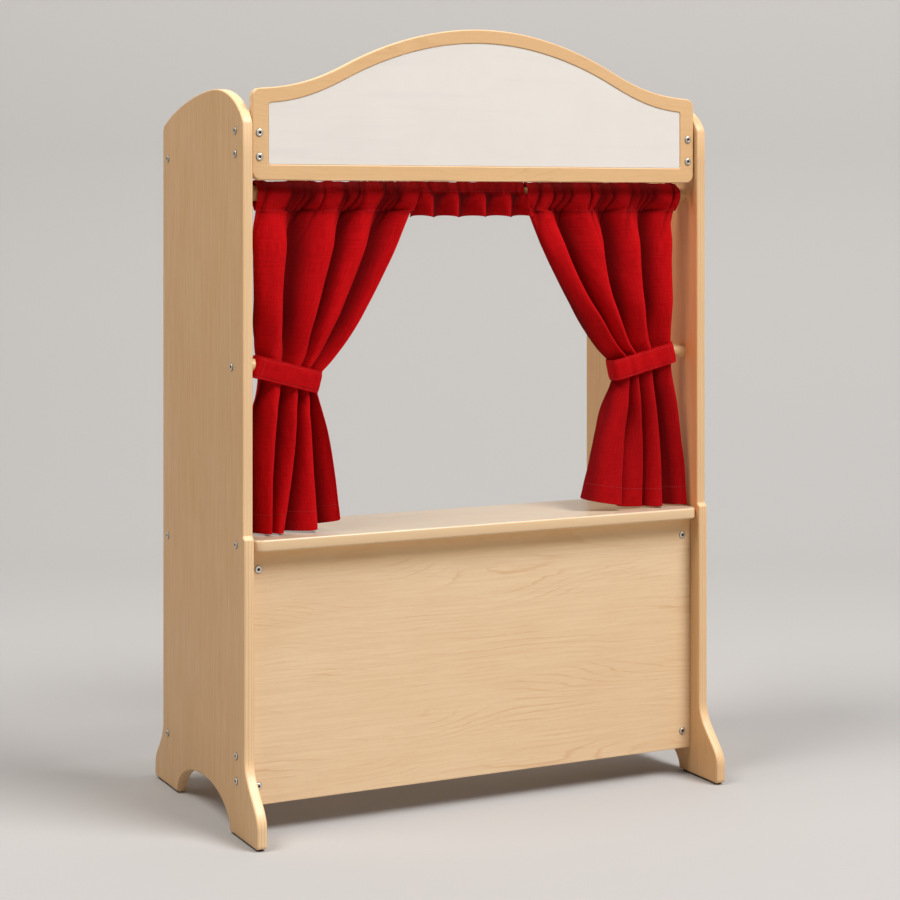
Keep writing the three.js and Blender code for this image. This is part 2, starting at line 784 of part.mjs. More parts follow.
function addCurtain(word, sign) {
  const edge = curtainEdges(word);
  const place = (across, row) => {
    const end = curtainRow(row, edge);
    const inward = sign > 0 ? 1 - across : across;
    const wave = Math.cos(2 * Math.PI * curtain.folds * (inward - curtain.firstRidgeShare));
    return {
      x: sign * mix(end.outerX, end.innerX, inward),
      y: rod.y - end.forward - end.fold * wave,
      z: mix(end.outerZ, end.innerZ, inward ** end.lag),
      half: end.half,
    };
  };
  const cloth = clothGeometry(counts.curtainColumns, curtainRows(), place);
  const ends = [sign * (edge.topInnerX - gap.overrun), sign * (edge.outerX + gap.overrun)];
  const [fromX, toX] = ends.sort((a, b) => a - b);
  addPiece(`curtain_${word}`, cut(cloth, [rodTunnel(fromX, toX)]), red, 0.85);
}

function addValance() {
  const rows = pocketRows(curtainTop, valanceStitch);
  for (const down of [0.5, 1]) {
    rows.push({ zone: 'ruffle', down, half: curtain.cloth / 2 });
  }
  const place = (across, row) => {
    const wave = Math.cos(2 * Math.PI * valance.folds * across);
    const loose = row.zone === 'ruffle' ? row.down : 0;
    const halfSpan = valance.halfWidth + valance.hemFlare * loose;
    const fold = mix(curtain.headingFold, valance.fold, loose);
    const level = mix(valanceStitch, rodHeight - valance.drop, loose);
    const height = level - valance.hemWave * wave * loose;
    return {
      x: halfSpan * (2 * across - 1),
      y: rod.y - fold * wave,
      z: row.zone === 'ruffle' ? height : row.height,
      half: row.half,
    };
  };
  const cloth = clothGeometry(counts.valanceColumns, rows, place);
  const reach = valance.halfWidth + gap.overrun;
  addPiece('valance', cut(cloth, [rodTunnel(-reach, reach)]), red, 0.85);
}

// A tieback is a closed band round the gathered curtain, sloping down towards the stage.
// The peg goes through a buttonhole in its outer end.
function addTieback(word, sign) {
  const edge = curtainEdges(word);
  const waistInnerX = (edge.waistInnerTopX + edge.waistInnerBottomX) / 2;
  const tilt = Math.atan2(curtain.bandSlope, waistOuterX - waistInnerX);
  const innerEnd = waistInnerX - band.innerGap - band.thickness;
  const outerEnd = innerX - band.outerGap;
  const length = (outerEnd - innerEnd) / Math.cos(tilt);
  const halfDepth = curtain.waistFold + curtain.cloth / 2 + band.sideGap + band.thickness;
  const ring = roundedRectangle(-length / 2, -halfDepth, length, 2 * halfDepth, band.round);
  const { thickness } = band;
  ring.holes.push(roundedRectangle(
    thickness - length / 2, thickness - halfDepth,
    length - 2 * thickness, 2 * (halfDepth - thickness), band.round - thickness));
  const geometry = new THREE.ExtrudeGeometry(ring, {
    depth: band.height,
    bevelEnabled: false,
    curveSegments: 3,
  });
  const middleX = (outerEnd + innerEnd) / 2;
  const middleZ = bandInnerHeight + (middleX - waistInnerX) * Math.tan(tilt);
  geometry.translate(0, 0, -band.height / 2).rotateY(-sign * tilt);
  geometry.translate(sign * middleX, rod.y, middleZ);
  const reach = [sign * (waistOuterX + gap.overrun), sign * innerX];
  const [fromX, toX] = reach.sort((a, b) => a - b);
  const radius = peg.radius + gap.bore + gap.seat;
  const buttonhole = roundAlongX(radius, fromX, toX, peg.y, peg.height, counts.pegSides);
  addPiece(`tieback_${word}`, cut(geometry, [toSolid(buttonhole)]), red, 0.85);
}

function addCloth() {
  for (const [word, sign] of [['left', -1], ['right', 1]]) {
    addCurtain(word, sign);
    addTieback(word, sign);
  }
  addValance();
}

addSides();
addPads();
addShelf();
addFrontPanel();
addHeader();
addCleats();
addRails();
addRod();
addPegs();
addCloth();
screws.forEach(addScrew);

// The origin is under the middle of the stand, on the floor.
const toeY = lowerFrontY - side.frontFlare;
const heelY = side.depth + side.rearFlare;
theater.position.y = -(toeY + heelY) / 2;

export default theater;
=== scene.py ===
import math
import random

import bmesh
import bpy
from mathutils import Matrix, Vector, noise


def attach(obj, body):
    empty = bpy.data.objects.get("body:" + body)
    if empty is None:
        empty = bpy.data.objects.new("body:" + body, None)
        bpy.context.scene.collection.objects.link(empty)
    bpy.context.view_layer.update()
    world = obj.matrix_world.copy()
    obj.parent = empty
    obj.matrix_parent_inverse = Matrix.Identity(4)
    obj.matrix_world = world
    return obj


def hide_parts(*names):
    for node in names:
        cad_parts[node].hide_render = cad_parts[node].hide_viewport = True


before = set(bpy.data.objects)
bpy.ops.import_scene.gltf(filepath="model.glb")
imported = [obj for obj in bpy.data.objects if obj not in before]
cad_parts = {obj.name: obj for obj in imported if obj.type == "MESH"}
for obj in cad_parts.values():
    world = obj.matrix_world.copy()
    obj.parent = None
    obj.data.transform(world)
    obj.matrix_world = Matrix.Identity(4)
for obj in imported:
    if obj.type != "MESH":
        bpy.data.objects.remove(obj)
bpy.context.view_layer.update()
print("frame loaded:", len(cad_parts), "nodes")

# Places and small helpers

standShift = -0.1825  # from the middle of the stand's feet to the sides' upper front edge
innerX = 417          # the sides' inner faces, in millimetres from the middle
outerX = 435
barHalf = 416.7       # half the length of the boards and rails between the sides
bothSides = (("left", -1), ("right", 1))


def at(x, y, z):  # millimetres; y is measured from the sides' upper front edge
    return Vector((x * 0.001, y * 0.001 + standShift, z * 0.001))


def mix(a, b, share):
    return a + (b - a) * share


def ease(x, low, high):  # 0 below low, 1 above high, smooth between
    t = min(max((x - low) / (high - low), 0.0), 1.0)
    return t * t * (3 - 2 * t)


def hump(x, middle, width):  # 1 in the middle, fading to 0 on both sides
    return math.exp(-((x - middle) / width) ** 2)


def glide(table, t):  # a smooth line through (t, value) pairs
    if t <= table[0][0]:
        return table[0][1]
    if t >= table[-1][0]:
        return table[-1][1]
    i = max(k for k in range(len(table) - 1) if table[k][0] <= t)
    (t0, a), (t1, b) = table[i], table[i + 1]
    span = t1 - t0

    def slope(k):
        if k <= 0 or k >= len(table) - 1:
            j = min(max(k, 1), len(table) - 1)
            return (table[j][1] - table[j - 1][1]) / (table[j][0] - table[j - 1][0])
        return (table[k + 1][1] - table[k - 1][1]) / (table[k + 1][0] - table[k - 1][0])

    s = (t - t0) / span
    h = s * s * (3 - 2 * s)
    return a + (b - a) * h + span * (slope(i) * s * (1 - s) ** 2 - slope(i + 1) * s * s * (1 - s))


def rough(x, y, z=0.0):  # smooth noise from -1 to 1, the same each run
    return noise.noise(Vector((x, y, z)))


def newObject(name, mesh):
    piece = bpy.data.objects.new(name, mesh)
    bpy.context.scene.collection.objects.link(piece)
    return piece


def objectFrom(bm, name):
    mesh = bpy.data.meshes.new(name)
    bm.to_mesh(mesh)
    bm.free()
    return newObject(name, mesh)


def finishMesh(bm, name, smoothAngle=math.radians(40)):
    piece = objectFrom(bm, name)
    piece.data.shade_smooth()
    piece.data.set_sharp_from_angle(angle=smoothAngle)
    return piece


def settle(piece, body, nodes, material):
    piece.data.materials.clear()
    piece.data.materials.append(material)
    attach(piece, body)
    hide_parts(*nodes)


def applyModifiers(piece):
    shaped = piece.evaluated_get(bpy.context.evaluated_depsgraph_get())
    mesh = bpy.data.meshes.new_from_object(shaped)
    piece.modifiers.clear()
    piece.data = mesh


# Camera, set by the photo's perspective

camera = {"lens": 84.278, "place": (-1.6287, -3.3048, 1.0017), "turn": -26.55, "shiftY": -0.26899}


def makeCamera():
    data = bpy.data.cameras.new("camera")
    data.lens = camera["lens"]
    data.sensor_width = 36
    data.shift_y = camera["shiftY"]
    data.clip_end = 50
    piece = newObject("camera", data)
    piece.location = camera["place"]
    piece.rotation_euler = (math.radians(90), 0, math.radians(camera["turn"]))
    bpy.context.scene.camera = piece


makeCamera()

# Helpers for shader nodes


def newGroup(name, inputs, outputs):
    tree = bpy.data.node_groups.new(name, "ShaderNodeTree")
    for label, kind, value in inputs:
        socket = tree.interface.new_socket(label, in_out="INPUT", socket_type="NodeSocket" + kind)
        if value is not None:
            socket.default_value = value
    for label, kind in outputs:
        tree.interface.new_socket(label, in_out="OUTPUT", socket_type="NodeSocket" + kind)
    return tree, tree.nodes.new("NodeGroupInput"), tree.nodes.new("NodeGroupOutput")


def plug(tree, socket, value):
    if isinstance(value, bpy.types.NodeSocket):
        tree.links.new(value, socket)
    else:
        socket.default_value = value


def calc(tree, operation, a, b=0.0):
    node = tree.nodes.new("ShaderNodeMath")
    node.operation = operation
    plug(tree, node.inputs[0], a)
    plug(tree, node.inputs[1], b)
    return node.outputs[0]


def times(tree, a, b):
    return calc(tree, "MULTIPLY", a, b)


def plus(tree, a, b):
    return calc(tree, "ADD", a, b)


def minus(tree, a, b):
    return calc(tree, "SUBTRACT", a, b)


def parts(tree, vector):
    node = tree.nodes.new("ShaderNodeSeparateXYZ")
    plug(tree, node.inputs[0], vector)
    return node.outputs


def vectorCalc(tree, operation, a, b):
    node = tree.nodes.new("ShaderNodeVectorMath")
    node.operation = operation
    plug(tree, node.inputs[0], a)
    plug(tree, node.inputs[1], b)
    return node.outputs[0]


def objectPlace(tree):
    return tree.nodes.new("ShaderNodeTexCoord").outputs["Object"]


def remap(tree, value, low, high, toLow=0.0, toHigh=1.0, kind="SMOOTHSTEP"):
    node = tree.nodes.new("ShaderNodeMapRange")
    node.interpolation_type = kind
    plug(tree, node.inputs["Value"], value)
    for label, number in (("From Min", low), ("From Max", high), ("To Min", toLow), ("To Max", toHigh)):
        node.inputs[label].default_value = number
    return node.outputs["Result"]


def noiseAt(tree, vector, perMetre, detail, roughness=0.5, distortion=0.0):
    node = tree.nodes.new("ShaderNodeTexNoise")
    node.inputs["Scale"].default_value = 1.0
    node.inputs["Detail"].default_value = detail
    node.inputs["Roughness"].default_value = roughness
    node.inputs["Distortion"].default_value = distortion
    plug(tree, node.inputs["Vector"], vectorCalc(tree, "MULTIPLY", vector, perMetre))
    return node.outputs["Fac"]


def blendColors(tree, share, a, b):
    node = tree.nodes.new("ShaderNodeMix")
    node.data_type = "RGBA"
    plug(tree, node.inputs["Factor"], share)
    colors = [s for s in node.inputs if s.type == "RGBA"]
    plug(tree, colors[0], a)
    plug(tree, colors[1], b)
    return [s for s in node.outputs if s.type == "RGBA"][0]


def bump(tree, height, distance, strength):
    node = tree.nodes.new("ShaderNodeBump")
    node.inputs["Distance"].default_value = distance
    node.inputs["Strength"].default_value = strength
    plug(tree, node.inputs["Height"], height)
    return node.outputs["Normal"]


def useGroup(tree, group, **values):
    node = tree.nodes.new("ShaderNodeGroup")
    node.node_tree = group
    for label, value in values.items():
        plug(tree, node.inputs[label], value)
    return node.outputs


def dress(tree, node, values):
    for label, value in values.items():
        plug(tree, node.inputs[label], value)


def fromRgb(r, g, b):  # a colour as a picture shows it, 0 to 255
    def linear(c):
        c /= 255
        return c / 12.92 if c <= 0.04045 else ((c + 0.055) / 1.055) ** 2.4
    return (linear(r), linear(g), linear(b), 1.0)


def newMaterial(name):
    material = bpy.data.materials.new(name)
    material.use_nodes = True
    tree = material.node_tree
    shader = tree.nodes["Principled BSDF"]
    return material, tree, shader


# Shader groups


def makeWoodGrain():  # Vector runs along the grain in x, across it in y, and through the board in z
    tree, given, out = newGroup(
        "woodGrain",
        [("Vector", "Vector", None), ("Shift", "Float", 0.0)],
        [("Figure", "Float"), ("Broad", "Float"), ("Fibre", "Float"), ("Pores", "Float")])
    move = tree.nodes.new("ShaderNodeCombineXYZ")  # another part of the tree for each kind of piece
    plug(tree, move.inputs[0], given.outputs["Shift"])
    plug(tree, move.inputs[1], times(tree, given.outputs["Shift"], 1.7))
    plug(tree, move.inputs[2], times(tree, given.outputs["Shift"], 0.3))
    place = vectorCalc(tree, "ADD", given.outputs["Vector"], move.outputs[0])
    wander = noiseAt(tree, place, (1.9, 7.0, 7.0), detail=1.4, roughness=0.4)
    waver = noiseAt(tree, place, (9, 90, 90), detail=3.0, roughness=0.62)
    split = parts(tree, place)
    bands = plus(tree, times(tree, wander, 20), times(tree, waver, 0.85))
    bands = plus(tree, bands, times(tree, split[1], 84))
    saw = calc(tree, "FRACT", bands)
    rise = remap(tree, saw, 0.7, 0.93)
    fall = remap(tree, saw, 0.93, 1.0, 1.0, 0.0)
    lines = times(tree, rise, fall)
    patchy = remap(tree, noiseAt(tree, place, (5.5, 24, 24), detail=2.5), 0.4, 0.66, 0.05, 1.0)
    broad = noiseAt(tree, place, (1.1, 5.2, 5.2), detail=2.5, roughness=0.55)
    streak = noiseAt(tree, place, (7, 240, 240), detail=3.0, roughness=0.6)
    fine = noiseAt(tree, place, (26, 1100, 1100), detail=1.5)
    fibre = plus(tree, times(tree, streak, 0.65), times(tree, fine, 0.35))
    dashes = noiseAt(tree, place, (95, 1500, 1500), detail=0.5)
    dress(tree, out, {
        "Figure": times(tree, lines, patchy), "Broad": remap(tree, broad, 0.3, 0.7),
        "Fibre": remap(tree, fibre, 0.32, 0.68), "Pores": remap(tree, dashes, 0.66, 0.76)})
    return tree


def makePlyLayers():  # Depth runs from 0 at one face to 1 at the other
    tree, given, out = newGroup(
        "plyLayers",
        [("Vector", "Vector", None), ("Depth", "Float", 0.0), ("Plies", "Float", 9.0)],
        [("Inside", "Float"), ("Cross", "Float"), ("Glue", "Float")])
    waver = noiseAt(tree, given.outputs["Vector"], (9, 9, 9), detail=2)
    wobble = times(tree, minus(tree, waver, 0.5), 0.35)
    depth, count = given.outputs["Depth"], given.outputs["Plies"]
    layer = plus(tree, times(tree, depth, count), wobble)
    part = calc(tree, "FRACT", layer)
    away = calc(tree, "ABSOLUTE", minus(tree, part, 0.5))
    half = calc(tree, "FRACT", times(tree, layer, 0.5))
    cross = remap(tree, calc(tree, "ABSOLUTE", minus(tree, half, 0.5)), 0.22, 0.28, 1.0, 0.0)
    plies = times(tree, calc(tree, "MINIMUM", depth, minus(tree, 1.0, depth)), count)
    dress(tree, out, {
        "Inside": remap(tree, plies, 0.42, 0.55), "Cross": cross, "Glue": remap(tree, away, 0.32, 0.48)})
    return tree


def makeWeave():  # Vector is the cloth's own length and width in metres
    tree, given, out = newGroup(
        "weave",
        [("Vector", "Vector", None), ("Threads", "Float", 1500.0)],
        [("Height", "Float"), ("Thread", "Float"), ("Slub", "Float")])
    split = parts(tree, given.outputs["Vector"])
    slubX = noiseAt(tree, given.outputs["Vector"], (34, 460, 1), detail=2)
    slubY = noiseAt(tree, given.outputs["Vector"], (460, 34, 1), detail=2)
    turn = times(tree, given.outputs["Threads"], math.pi)
    across = plus(tree, times(tree, split[0], turn), times(tree, slubY, 2.0))
    along = plus(tree, times(tree, split[1], turn), times(tree, slubX, 2.0))
    warp = calc(tree, "ABSOLUTE", calc(tree, "SINE", across))
    weft = calc(tree, "ABSOLUTE", calc(tree, "SINE", along))
    over = times(tree, *(calc(tree, "SINE", times(tree, way, 0.5)) for way in (across, along)))
    onTop = remap(tree, over, -0.12, 0.12)
    height = plus(tree, times(tree, warp, onTop), times(tree, weft, minus(tree, 1.0, onTop)))
    slub = remap(tree, plus(tree, slubX, slubY), 0.82, 1.18)
    dress(tree, out, {"Height": height, "Thread": onTop, "Slub": slub})
    return tree


def makeHandling():  # soft blotches of use, and fine dust specks
    tree, given, out = newGroup(
        "handling", [("Vector", "Vector", None)], [("Blotch", "Float"), ("Specks", "Float")])
    blotch = noiseAt(tree, given.outputs["Vector"], (7, 7, 7), detail=4, roughness=0.6)
    specks = noiseAt(tree, given.outputs["Vector"], (900, 900, 900), detail=1)
    dress(tree, out, {"Blotch": remap(tree, blotch, 0.35, 0.7), "Specks": remap(tree, specks, 0.72, 0.8)})
    return tree


woodGrain = makeWoodGrain()
plyLayers = makePlyLayers()
weave = makeWeave()
handling = makeHandling()
print("shader groups made")

# Wood

axes = "xyz"


def grainSpace(tree, runs):  # runs names the axes along the grain, across it and through the board
    place = objectPlace(tree)
    split = parts(tree, place)
    join = tree.nodes.new("ShaderNodeCombineXYZ")
    for socket, axis in zip(join.inputs, runs):
        plug(tree, socket, split[axes.index(axis)])
    return place, join.outputs[0], split[axes.index(runs[2])]


def faceParts(tree):  # x, y and z of the way that the surface faces
    return parts(tree, tree.nodes.new("ShaderNodeNewGeometry").outputs["Normal"])


def showPlies(tree, look, grain, place, depth, color):  # the layers of the plywood on its cut edges
    share = calc(tree, "DIVIDE", minus(tree, depth, look["face"]), look["thickness"])
    layers = useGroup(tree, plyLayers, Vector=place, Depth=share, Plies=look["plies"])
    edge = blendColors(tree, layers["Cross"], look["edgePale"], look["edgeDark"])
    edge = blendColors(tree, times(tree, grain["Fibre"], 0.16), edge, look["lineColor"])
    glue = times(tree, layers["Glue"], look["glueShare"])
    return blendColors(tree, layers["Inside"], color, blendColors(tree, glue, edge, look["glue"]))


def addPaintedRedBounce(tree, paintedRedBounce, place, color):  # painted red bounce light: the inner face beside the curtain is tinted as if lit by the red cloth
    inner = remap(tree, faceParts(tree)[0], -0.9, -0.5, 1.0, 0.0)
    split = parts(tree, place)
    near = remap(tree, split[1], paintedRedBounce["to"] + standShift, paintedRedBounce["from"] + standShift, 1.0, 0.0)
    near = times(tree, near, remap(tree, split[2], paintedRedBounce["low"], paintedRedBounce["low"] + 0.03))
    near = times(tree, near, remap(tree, split[2], paintedRedBounce["high"] - 0.06, paintedRedBounce["high"], 1.0, 0.0))
    tone = blendColors(tree, times(tree, inner, near), (1.0, 1.0, 1.0, 1.0), paintedRedBounce["tint"])
    return vectorCalc(tree, "MULTIPLY", color, tone)


def keepPaintedSheenOnTop(tree, flank, color):  # painted reflection: the shelf's greyed colour stays on its top as the room's sheen, and faces not turned up get the plain wood colour
    share = remap(tree, faceParts(tree)[2], 0.45, 0.85, flank["share"], 0.0)
    return blendColors(tree, share, color, flank["color"])


def addPaintedShelfShade(tree, paintedShelfShade, place, color):  # painted shade: the panel is warmer and deeper close under the shelf, where the shelf shades it
    share = remap(tree, parts(tree, place)[2], paintedShelfShade["from"], paintedShelfShade["to"], 0.0, paintedShelfShade["share"])
    return blendColors(tree, share, color, paintedShelfShade["color"])


def makeWood(name, look):
    material, tree, shader = newMaterial(name)
    place, along, depth = grainSpace(tree, look["runs"])
    grain = useGroup(tree, woodGrain, Vector=along, Shift=look["shift"])
    used = useGroup(tree, handling, Vector=place)
    color = blendColors(tree, times(tree, grain["Broad"], 0.75), look["pale"], look["warm"])
    color = blendColors(tree, times(tree, grain["Fibre"], look["fibre"]), color, look["fibreColor"])
    color = blendColors(tree, times(tree, grain["Figure"], look["figure"]), color, look["lineColor"])
    color = blendColors(tree, times(tree, grain["Pores"], 0.22), color, look["lineColor"])
    if "plies" in look:
        color = showPlies(tree, look, grain, place, depth, color)
    color = blendColors(tree, times(tree, used["Blotch"], 0.07), color, look["lineColor"])
    if "paintedRedBounce" in look:
        color = addPaintedRedBounce(tree, look["paintedRedBounce"], place, color)
    if "flank" in look:
        color = keepPaintedSheenOnTop(tree, look["flank"], color)
    if "paintedShelfShade" in look:
        color = addPaintedShelfShade(tree, look["paintedShelfShade"], place, color)
    worn = plus(tree, times(tree, grain["Fibre"], 0.08), times(tree, used["Blotch"], 0.07))
    relief = minus(tree, times(tree, grain["Fibre"], 0.4), grain["Pores"])
    dress(tree, shader, {
        "Base Color": color, "Roughness": plus(tree, worn, look["roughness"]),
        "Coat Weight": look["coat"], "Coat Roughness": look["coatRoughness"],
        "Normal": bump(tree, relief, 0.00006, 0.6)})
    return material


wood = {
    "pale": fromRgb(237, 204, 163),
    "warm": fromRgb(229, 191, 147),
    "fibreColor": fromRgb(215, 173, 124),
    "lineColor": fromRgb(189, 137, 85),
    "edgePale": fromRgb(244, 209, 162),
    "edgeDark": fromRgb(238, 199, 150),
    "glue": fromRgb(192, 145, 99),
    "glueShare": 0.42,
    "fibre": 0.34,
    "figure": 0.26,
    "roughness": 0.42,
    "coat": 0.12,
    "coatRoughness": 0.25,
}
# the sides use a darker, warmer copy of the wood: painted shade, as on the left side's outer face turned away
# from the key light
shadedSideWood = {
    **wood, "runs": "zyx", "thickness": 0.018, "plies": 7.0,
    "pale": fromRgb(220, 180, 130), "warm": fromRgb(212, 167, 116), "fibreColor": fromRgb(197, 151, 100),
}
frontWood = {**wood, "runs": "xzy"}

sideWoodLeft = makeWood("side plywood left", {
    **shadedSideWood, "shift": 3.1, "face": -0.435, "figure": 0.14, "fibre": 0.62})
sideWoodRight = makeWood("side plywood right", {
    **shadedSideWood, "shift": 7.7, "face": 0.417, "figure": 0.12, "fibre": 0.5,
    "edgePale": fromRgb(236, 198, 150), "edgeDark": fromRgb(230, 189, 139),
    # painted red bounce light on the right side's inner face, above the shelf
    "paintedRedBounce": {"tint": (1.24, 0.84, 0.62, 1.0), "from": 0.16, "to": 0.05, "low": 0.455, "high": 1.06}})
headerWood = makeWood("header plywood", {
    **frontWood, "shift": 1.4, "face": 0.0078 + standShift, "thickness": 0.015, "plies": 9.0,
    "figure": 0.22, "fibre": 0.4, "pale": fromRgb(232, 191, 139), "warm": fromRgb(223, 177, 124)})
panelWood = makeWood("front plywood", {
    **frontWood, "shift": 5.3, "face": 0.021 + standShift, "thickness": 0.012, "plies": 7.0,
    "figure": 0.36, "lineColor": fromRgb(208, 148, 94),
    "pale": fromRgb(242, 212, 171), "warm": fromRgb(234, 199, 156),
    # painted shade close under the shelf
    "paintedShelfShade": {"color": fromRgb(241, 193, 128), "share": 0.7, "from": 0.405, "to": 0.45}})
# the shelf's pale and warm are greyed: painted reflection of the room on its top
shelfWood = makeWood("shelf maple", {
    **wood, "runs": "xyz", "shift": 9.6, "figure": 0.2, "coat": 0.62, "coatRoughness": 0.24,
    "roughness": 0.36, "pale": fromRgb(200, 182, 158), "warm": fromRgb(193, 171, 142),
    "fibreColor": fromRgb(183, 155, 122), "flank": {"color": fromRgb(240, 201, 150), "share": 0.7}})
railWood = makeWood("rail birch", {
    **frontWood, "shift": 12.2, "roughness": 0.55, "coat": 0.0, "figure": 0.24})
cleatWood = makeWood("cleat birch", {
    **wood, "runs": "zxy", "shift": 15.9, "roughness": 0.6, "coat": 0.0, "figure": 0.2})
dowelWood = makeWood("dowel beech", {
    **frontWood, "shift": 18.4, "pale": fromRgb(223, 184, 135), "warm": fromRgb(209, 164, 111),
    "figure": 0.14, "fibre": 0.42, "roughness": 0.4})
print("wood made")

# Boards: an outline with handles, filled, given its thickness and rounded edges


def startOutline(x, y):
    return [{"co": (x, y), "left": (x, y), "right": (x, y)}]


def curveTo(outline, ax, ay, bx, by, x, y):
    outline[-1]["right"] = (ax, ay)
    outline.append({"co": (x, y), "left": (bx, by), "right": (x, y)})


def lineTo(outline, x, y):
    px, py = outline[-1]["co"]
    curveTo(outline, mix(px, x, 1 / 3), mix(py, y, 1 / 3), mix(px, x, 2 / 3), mix(py, y, 2 / 3), x, y)


def roundTo(outline, cx, cy, x, y):  # a corner whose sharp point would be at cx, cy
    px, py = outline[-1]["co"]
    curveTo(outline, mix(px, cx, 0.56), mix(py, cy, 0.56), mix(x, cx, 0.56), mix(y, cy, 0.56), x, y)


def closeOutline(outline):
    last = outline.pop()
    outline[0]["left"] = last["left"]
    return outline


facingFront = Matrix(((1, 0, 0), (0, 0, -1), (0, 1, 0)))  # outline x to the right, y up
facingSide = Matrix(((0, 0, 1), (1, 0, 0), (0, 1, 0)))    # outline x to the rear, y up
facingUp = Matrix.Identity(3)


def makeBoard(name, outlines, thickness, edgeRound, turn, middle, steps=12):
    curve = bpy.data.curves.new(name, "CURVE")
    curve.dimensions = "2D"
    curve.fill_mode = "BOTH"
    curve.resolution_u = steps
    curve.extrude = thickness / 2 - edgeRound
    curve.bevel_depth = edgeRound
    curve.bevel_resolution = 3
    curve.offset = -edgeRound
    for outline in outlines:
        spline = curve.splines.new("BEZIER")
        spline.bezier_points.add(len(outline) - 1)
        for point, given in zip(spline.bezier_points, outline):
            point.handle_left_type = point.handle_right_type = "FREE"
            point.co = (*given["co"], 0)
            point.handle_left = (*given["left"], 0)
            point.handle_right = (*given["right"], 0)
        spline.use_cyclic_u = True
    shape = newObject(name + "_outline", curve)
    shaped = shape.evaluated_get(bpy.context.evaluated_depsgraph_get())
    flat = bpy.data.meshes.new_from_object(shaped)
    bm = bmesh.new()
    bm.from_mesh(flat)
    bpy.data.objects.remove(shape)
    bmesh.ops.remove_doubles(bm, verts=bm.verts, dist=0.01)
    bmesh.ops.dissolve_degenerate(bm, dist=0.005, edges=bm.edges)
    bmesh.ops.recalc_face_normals(bm, faces=bm.faces)
    bmesh.ops.transform(bm, matrix=Matrix.Scale(0.001, 4), verts=bm.verts)
    bmesh.ops.transform(bm, matrix=turn.to_4x4(), verts=bm.verts)
    bmesh.ops.translate(bm, vec=middle, verts=bm.verts)
    bm.normal_update()
    axis = turn @ Vector((0, 0, 1))
    for face in bm.faces:
        face.smooth = abs(face.normal.dot(axis)) < 0.999
    return objectFrom(bm, name)


def drill(piece, radius, start, end):  # a round hole along X
    bm = bmesh.new()
    bmesh.ops.create_cone(bm, cap_ends=True, segments=40, radius1=radius * 0.001,
                          radius2=radius * 0.001, depth=(end - start).length)
    bmesh.ops.rotate(bm, matrix=Matrix.Rotation(math.radians(90), 3, "Y"), verts=bm.verts)
    bmesh.ops.translate(bm, vec=(start + end) / 2, verts=bm.verts)
    cutter = objectFrom(bm, "drill")
    hole = piece.modifiers.new("hole", "BOOLEAN")
    hole.operation = "DIFFERENCE"
    hole.solver = "EXACT"
    hole.object = cutter
    applyModifiers(piece)
    bpy.data.objects.remove(cutter)


side = {
    "depth": 386, "pad": 3, "frontHeight": 1135, "peakHeight": 1196, "peakY": 135,
    "shoulderHeight": 1147, "shoulderWidth": 10, "shoulderDrop": 16,
    "step": 6, "stepHeight": 9, "frontFlare": 57, "frontFlareTop": 132, "frontFlareBottom": 36,
    "rearFlare": 42, "rearFlareTop": 110, "rearFlareBottom": 27, "toeRound": 6,
    "archFront": 58, "archRear": 310, "archHeight": 59, "edgeRound": 3, "shelfTop": 475.2,
}
rod = {
    "radius": 12.5, "chamfer": 0.8, "y": 47.6, "z": 1025, "reach": 425, "socketBottom": 426,
    "socketRadius": 12.8, "steps": 48,
}


def sideOutline():
    s = side
    base, depth, low = s["pad"], s["depth"], -s["step"]
    toe, heel = low - s["frontFlare"], depth + s["rearFlare"]
    middle, half = (s["archFront"] + s["archRear"]) / 2, (s["archRear"] - s["archFront"]) / 2
    frontRise = s["frontFlareTop"] - s["frontFlareBottom"]
    rearRise = s["rearFlareTop"] - s["rearFlareBottom"]
    stepTop = s["shelfTop"] + s["stepHeight"]
    crownRise = s["peakHeight"] - s["shoulderHeight"]
    rearRun = depth - s["shoulderWidth"] - s["peakY"]
    frontRun = s["peakY"]
    line = startOutline(toe + s["toeRound"], base)
    lineTo(line, s["archFront"], base)
    pull, top = 0.5523, base + s["archHeight"]  # handles of this length make the arch half an ellipse
    curveTo(line, s["archFront"], base + pull * s["archHeight"], middle - pull * half, top, middle, top)
    curveTo(line, middle + pull * half, top, s["archRear"], base + pull * s["archHeight"],
            s["archRear"], base)
    lineTo(line, heel - s["toeRound"], base)
    roundTo(line, heel, base, heel, base + s["toeRound"])
    lineTo(line, heel, s["rearFlareBottom"])
    curveTo(line, heel, s["rearFlareBottom"] + rearRise / 3, depth, s["rearFlareTop"] - rearRise / 2,
            depth, s["rearFlareTop"])
    lineTo(line, depth, s["shoulderHeight"] - s["shoulderDrop"])
    curveTo(line, depth, s["shoulderHeight"] - s["shoulderDrop"] / 2, depth - s["shoulderWidth"] / 3,
            s["shoulderHeight"] - s["shoulderDrop"] / 12, depth - s["shoulderWidth"], s["shoulderHeight"])
    curveTo(line, s["peakY"] + 0.73 * rearRun, s["shoulderHeight"] + 0.63 * crownRise,
            s["peakY"] + 0.27 * rearRun, s["peakHeight"], s["peakY"], s["peakHeight"])
    curveTo(line, 0.45 * frontRun, s["peakHeight"],
            0.04 * frontRun, mix(s["frontHeight"], s["peakHeight"], 0.38), 0, s["frontHeight"])
    lineTo(line, 0, stepTop)
    curveTo(line, 0, stepTop - s["stepHeight"] / 2, low, s["shelfTop"] + s["stepHeight"] / 2,
            low, s["shelfTop"])
    lineTo(line, low, s["frontFlareTop"])
    curveTo(line, low, s["frontFlareTop"] - 0.42 * frontRise, toe, s["frontFlareBottom"] + 0.32 * frontRise,
            toe, s["frontFlareBottom"])
    lineTo(line, toe, base + s["toeRound"])
    roundTo(line, toe, base, toe + s["toeRound"], base)
    return closeOutline(line)


